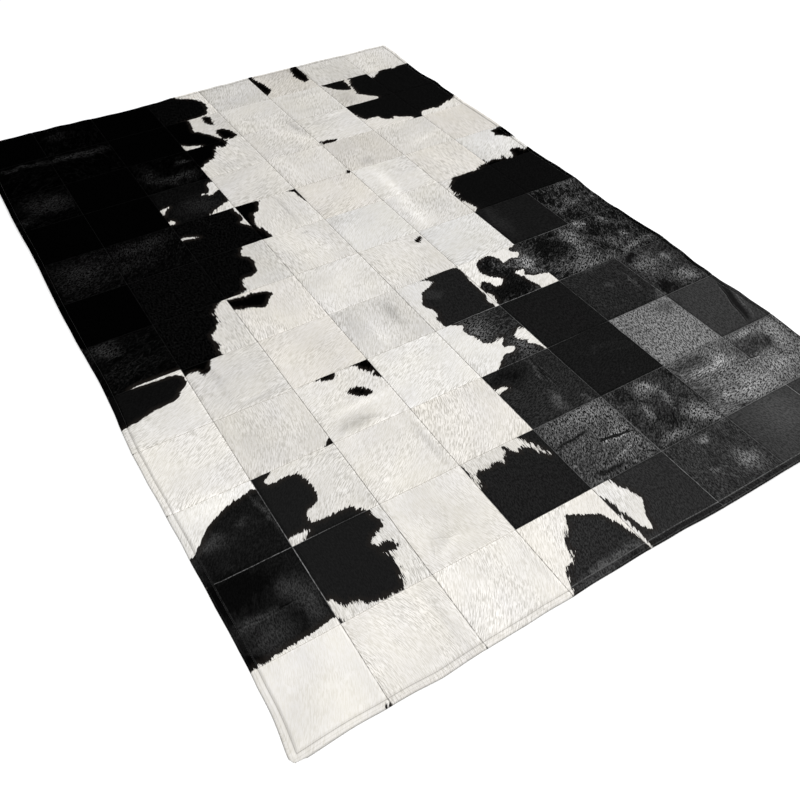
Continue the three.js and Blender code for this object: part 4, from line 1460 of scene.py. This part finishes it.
def stitches_along(path):
    """The mesh of a stitch repeated and bent along a path, which is removed."""
    row = new_object("row", one_stitch())
    repeat = row.modifiers.new("repeat", "ARRAY")
    repeat.fit_type = "FIT_CURVE"
    repeat.curve = path
    repeat.use_relative_offset = False
    repeat.use_constant_offset = True
    repeat.constant_offset_displace = (STITCH_PITCH / METRE, 0, 0)
    bend = row.modifiers.new("bend", "CURVE")
    bend.object = path
    bpy.context.view_layer.update()
    made = row.evaluated_get(bpy.context.evaluated_depsgraph_get())
    mesh = bpy.data.meshes.new_from_object(made)
    mesh.name = "topstitching"
    bpy.data.objects.remove(row)
    bpy.data.objects.remove(path)
    return mesh


def topstitching(material):
    """One row of stitches round the hem, each dark on black hair and pale on white."""
    mesh = stitches_along(path_curve())
    mesh.materials.clear()
    mesh.materials.append(material)
    points = vertex_places(mesh) * METRE
    a = np.clip(points[:, 0] - FIRST_LINE[0], 0, COLUMNS * COLUMN_PITCH - 1)
    b = np.clip(points[:, 1] - FIRST_LINE[1], 0, ROWS * ROW_PITCH - 1)
    column, row = patch_counts(a, b)
    thread = np.zeros(len(a))
    for patch, own, u, v in patches_among(column, row, a, b):
        thread[own] = marking_depth(patch, np.stack([u, v], 1)) > 0
    mesh.attributes.new("thread", "FLOAT", "POINT").data.foreach_set("value", thread)
    stitches = new_object("topstitching", mesh)
    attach(stitches, "root")
    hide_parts("hide_rug")


# ---------------------------------------------------------------------------------------------
# Camera, floor and light
# ---------------------------------------------------------------------------------------------
LENS = 37.28  # focal length, on a sensor as wide as SENSOR
SENSOR = 36
CAMERA_PLACE = (-0.9409, -1.7493, 1.3984)  # metres
CAMERA_LOOK = (0.371226, 0.597162, -0.711048)  # the way it looks
CAMERA_ROLL = 0.234  # degrees
FLOOR_HALF = 12  # metres
FLOOR_GLOW = 0.3
SKY_STRENGTH = 0.40

# Lamps: place and target in metres, width of the disk in metres, and power in watts.
LAMPS = {
    "key": ((5.2, 3.4, 4.6), (0, 0, 0), 1.6, 270),
    "near fill": ((-0.7, -1.7, 2.3), (-0.3, -0.8, 0), 1.0, 33),
}


def camera():
    """The camera, above and outside the near left corner, looking down along the rug."""
    lens = bpy.data.cameras.new("camera")
    lens.lens = LENS
    lens.sensor_width = SENSOR
    eye = new_object("camera", lens)
    eye.location = CAMERA_PLACE
    look = Vector(CAMERA_LOOK)
    roll = Quaternion((0, 0, 1), math.radians(CAMERA_ROLL))
    eye.rotation_euler = (look.to_track_quat("-Z", "Y") @ roll).to_euler()
    bpy.context.scene.camera = eye


def floor():
    """A wide pale floor with a faint glow of its own, so that it stays even."""
    bm = bmesh.new()
    bmesh.ops.create_grid(bm, x_segments=1, y_segments=1, size=FLOOR_HALF)
    mesh = mesh_from(bm, "floor")
    material, _, shader = new_material("matt white studio floor")
    shader.inputs["Base Color"].default_value = linear("#fdfdfd")
    shader.inputs["Roughness"].default_value = 0.9
    shader.inputs["Specular IOR Level"].default_value = 0.0
    shader.inputs["Emission Color"].default_value = linear("#ffffff")
    shader.inputs["Emission Strength"].default_value = FLOOR_GLOW
    mesh.materials.append(material)
    ground = new_object("floor", mesh)


def area_light(name, place, target, size, power):
    """A round soft lamp that faces its target."""
    data = bpy.data.lights.new(name, "AREA")
    data.shape = "DISK"
    data.size = size
    data.energy = power
    lamp = new_object(name, data)
    lamp.location = place
    lamp.rotation_euler = (Vector(target) - Vector(place)).to_track_quat("-Z", "Y").to_euler()


def light():
    """Even white light from all round, and the lamps."""
    world = bpy.data.worlds.new("studio")
    bpy.context.scene.world = world
    world.use_nodes = True
    backdrop = world.node_tree.nodes["Background"]
    backdrop.inputs["Color"].default_value = (1, 1, 1, 1)
    backdrop.inputs["Strength"].default_value = SKY_STRENGTH
    for name, (place, target, size, power) in LAMPS.items():
        area_light(name, place, target, size, power)
    bpy.context.scene.view_settings.view_transform = "Standard"


camera()
floor()
light()
hide_materials = [hair_on_cowhide(), flesh_side()]
for along in range(ROWS // BLOCK):
    for across in range(COLUMNS // BLOCK):
        hide_block(across, along, hide_materials)
topstitching(polyester_thread())
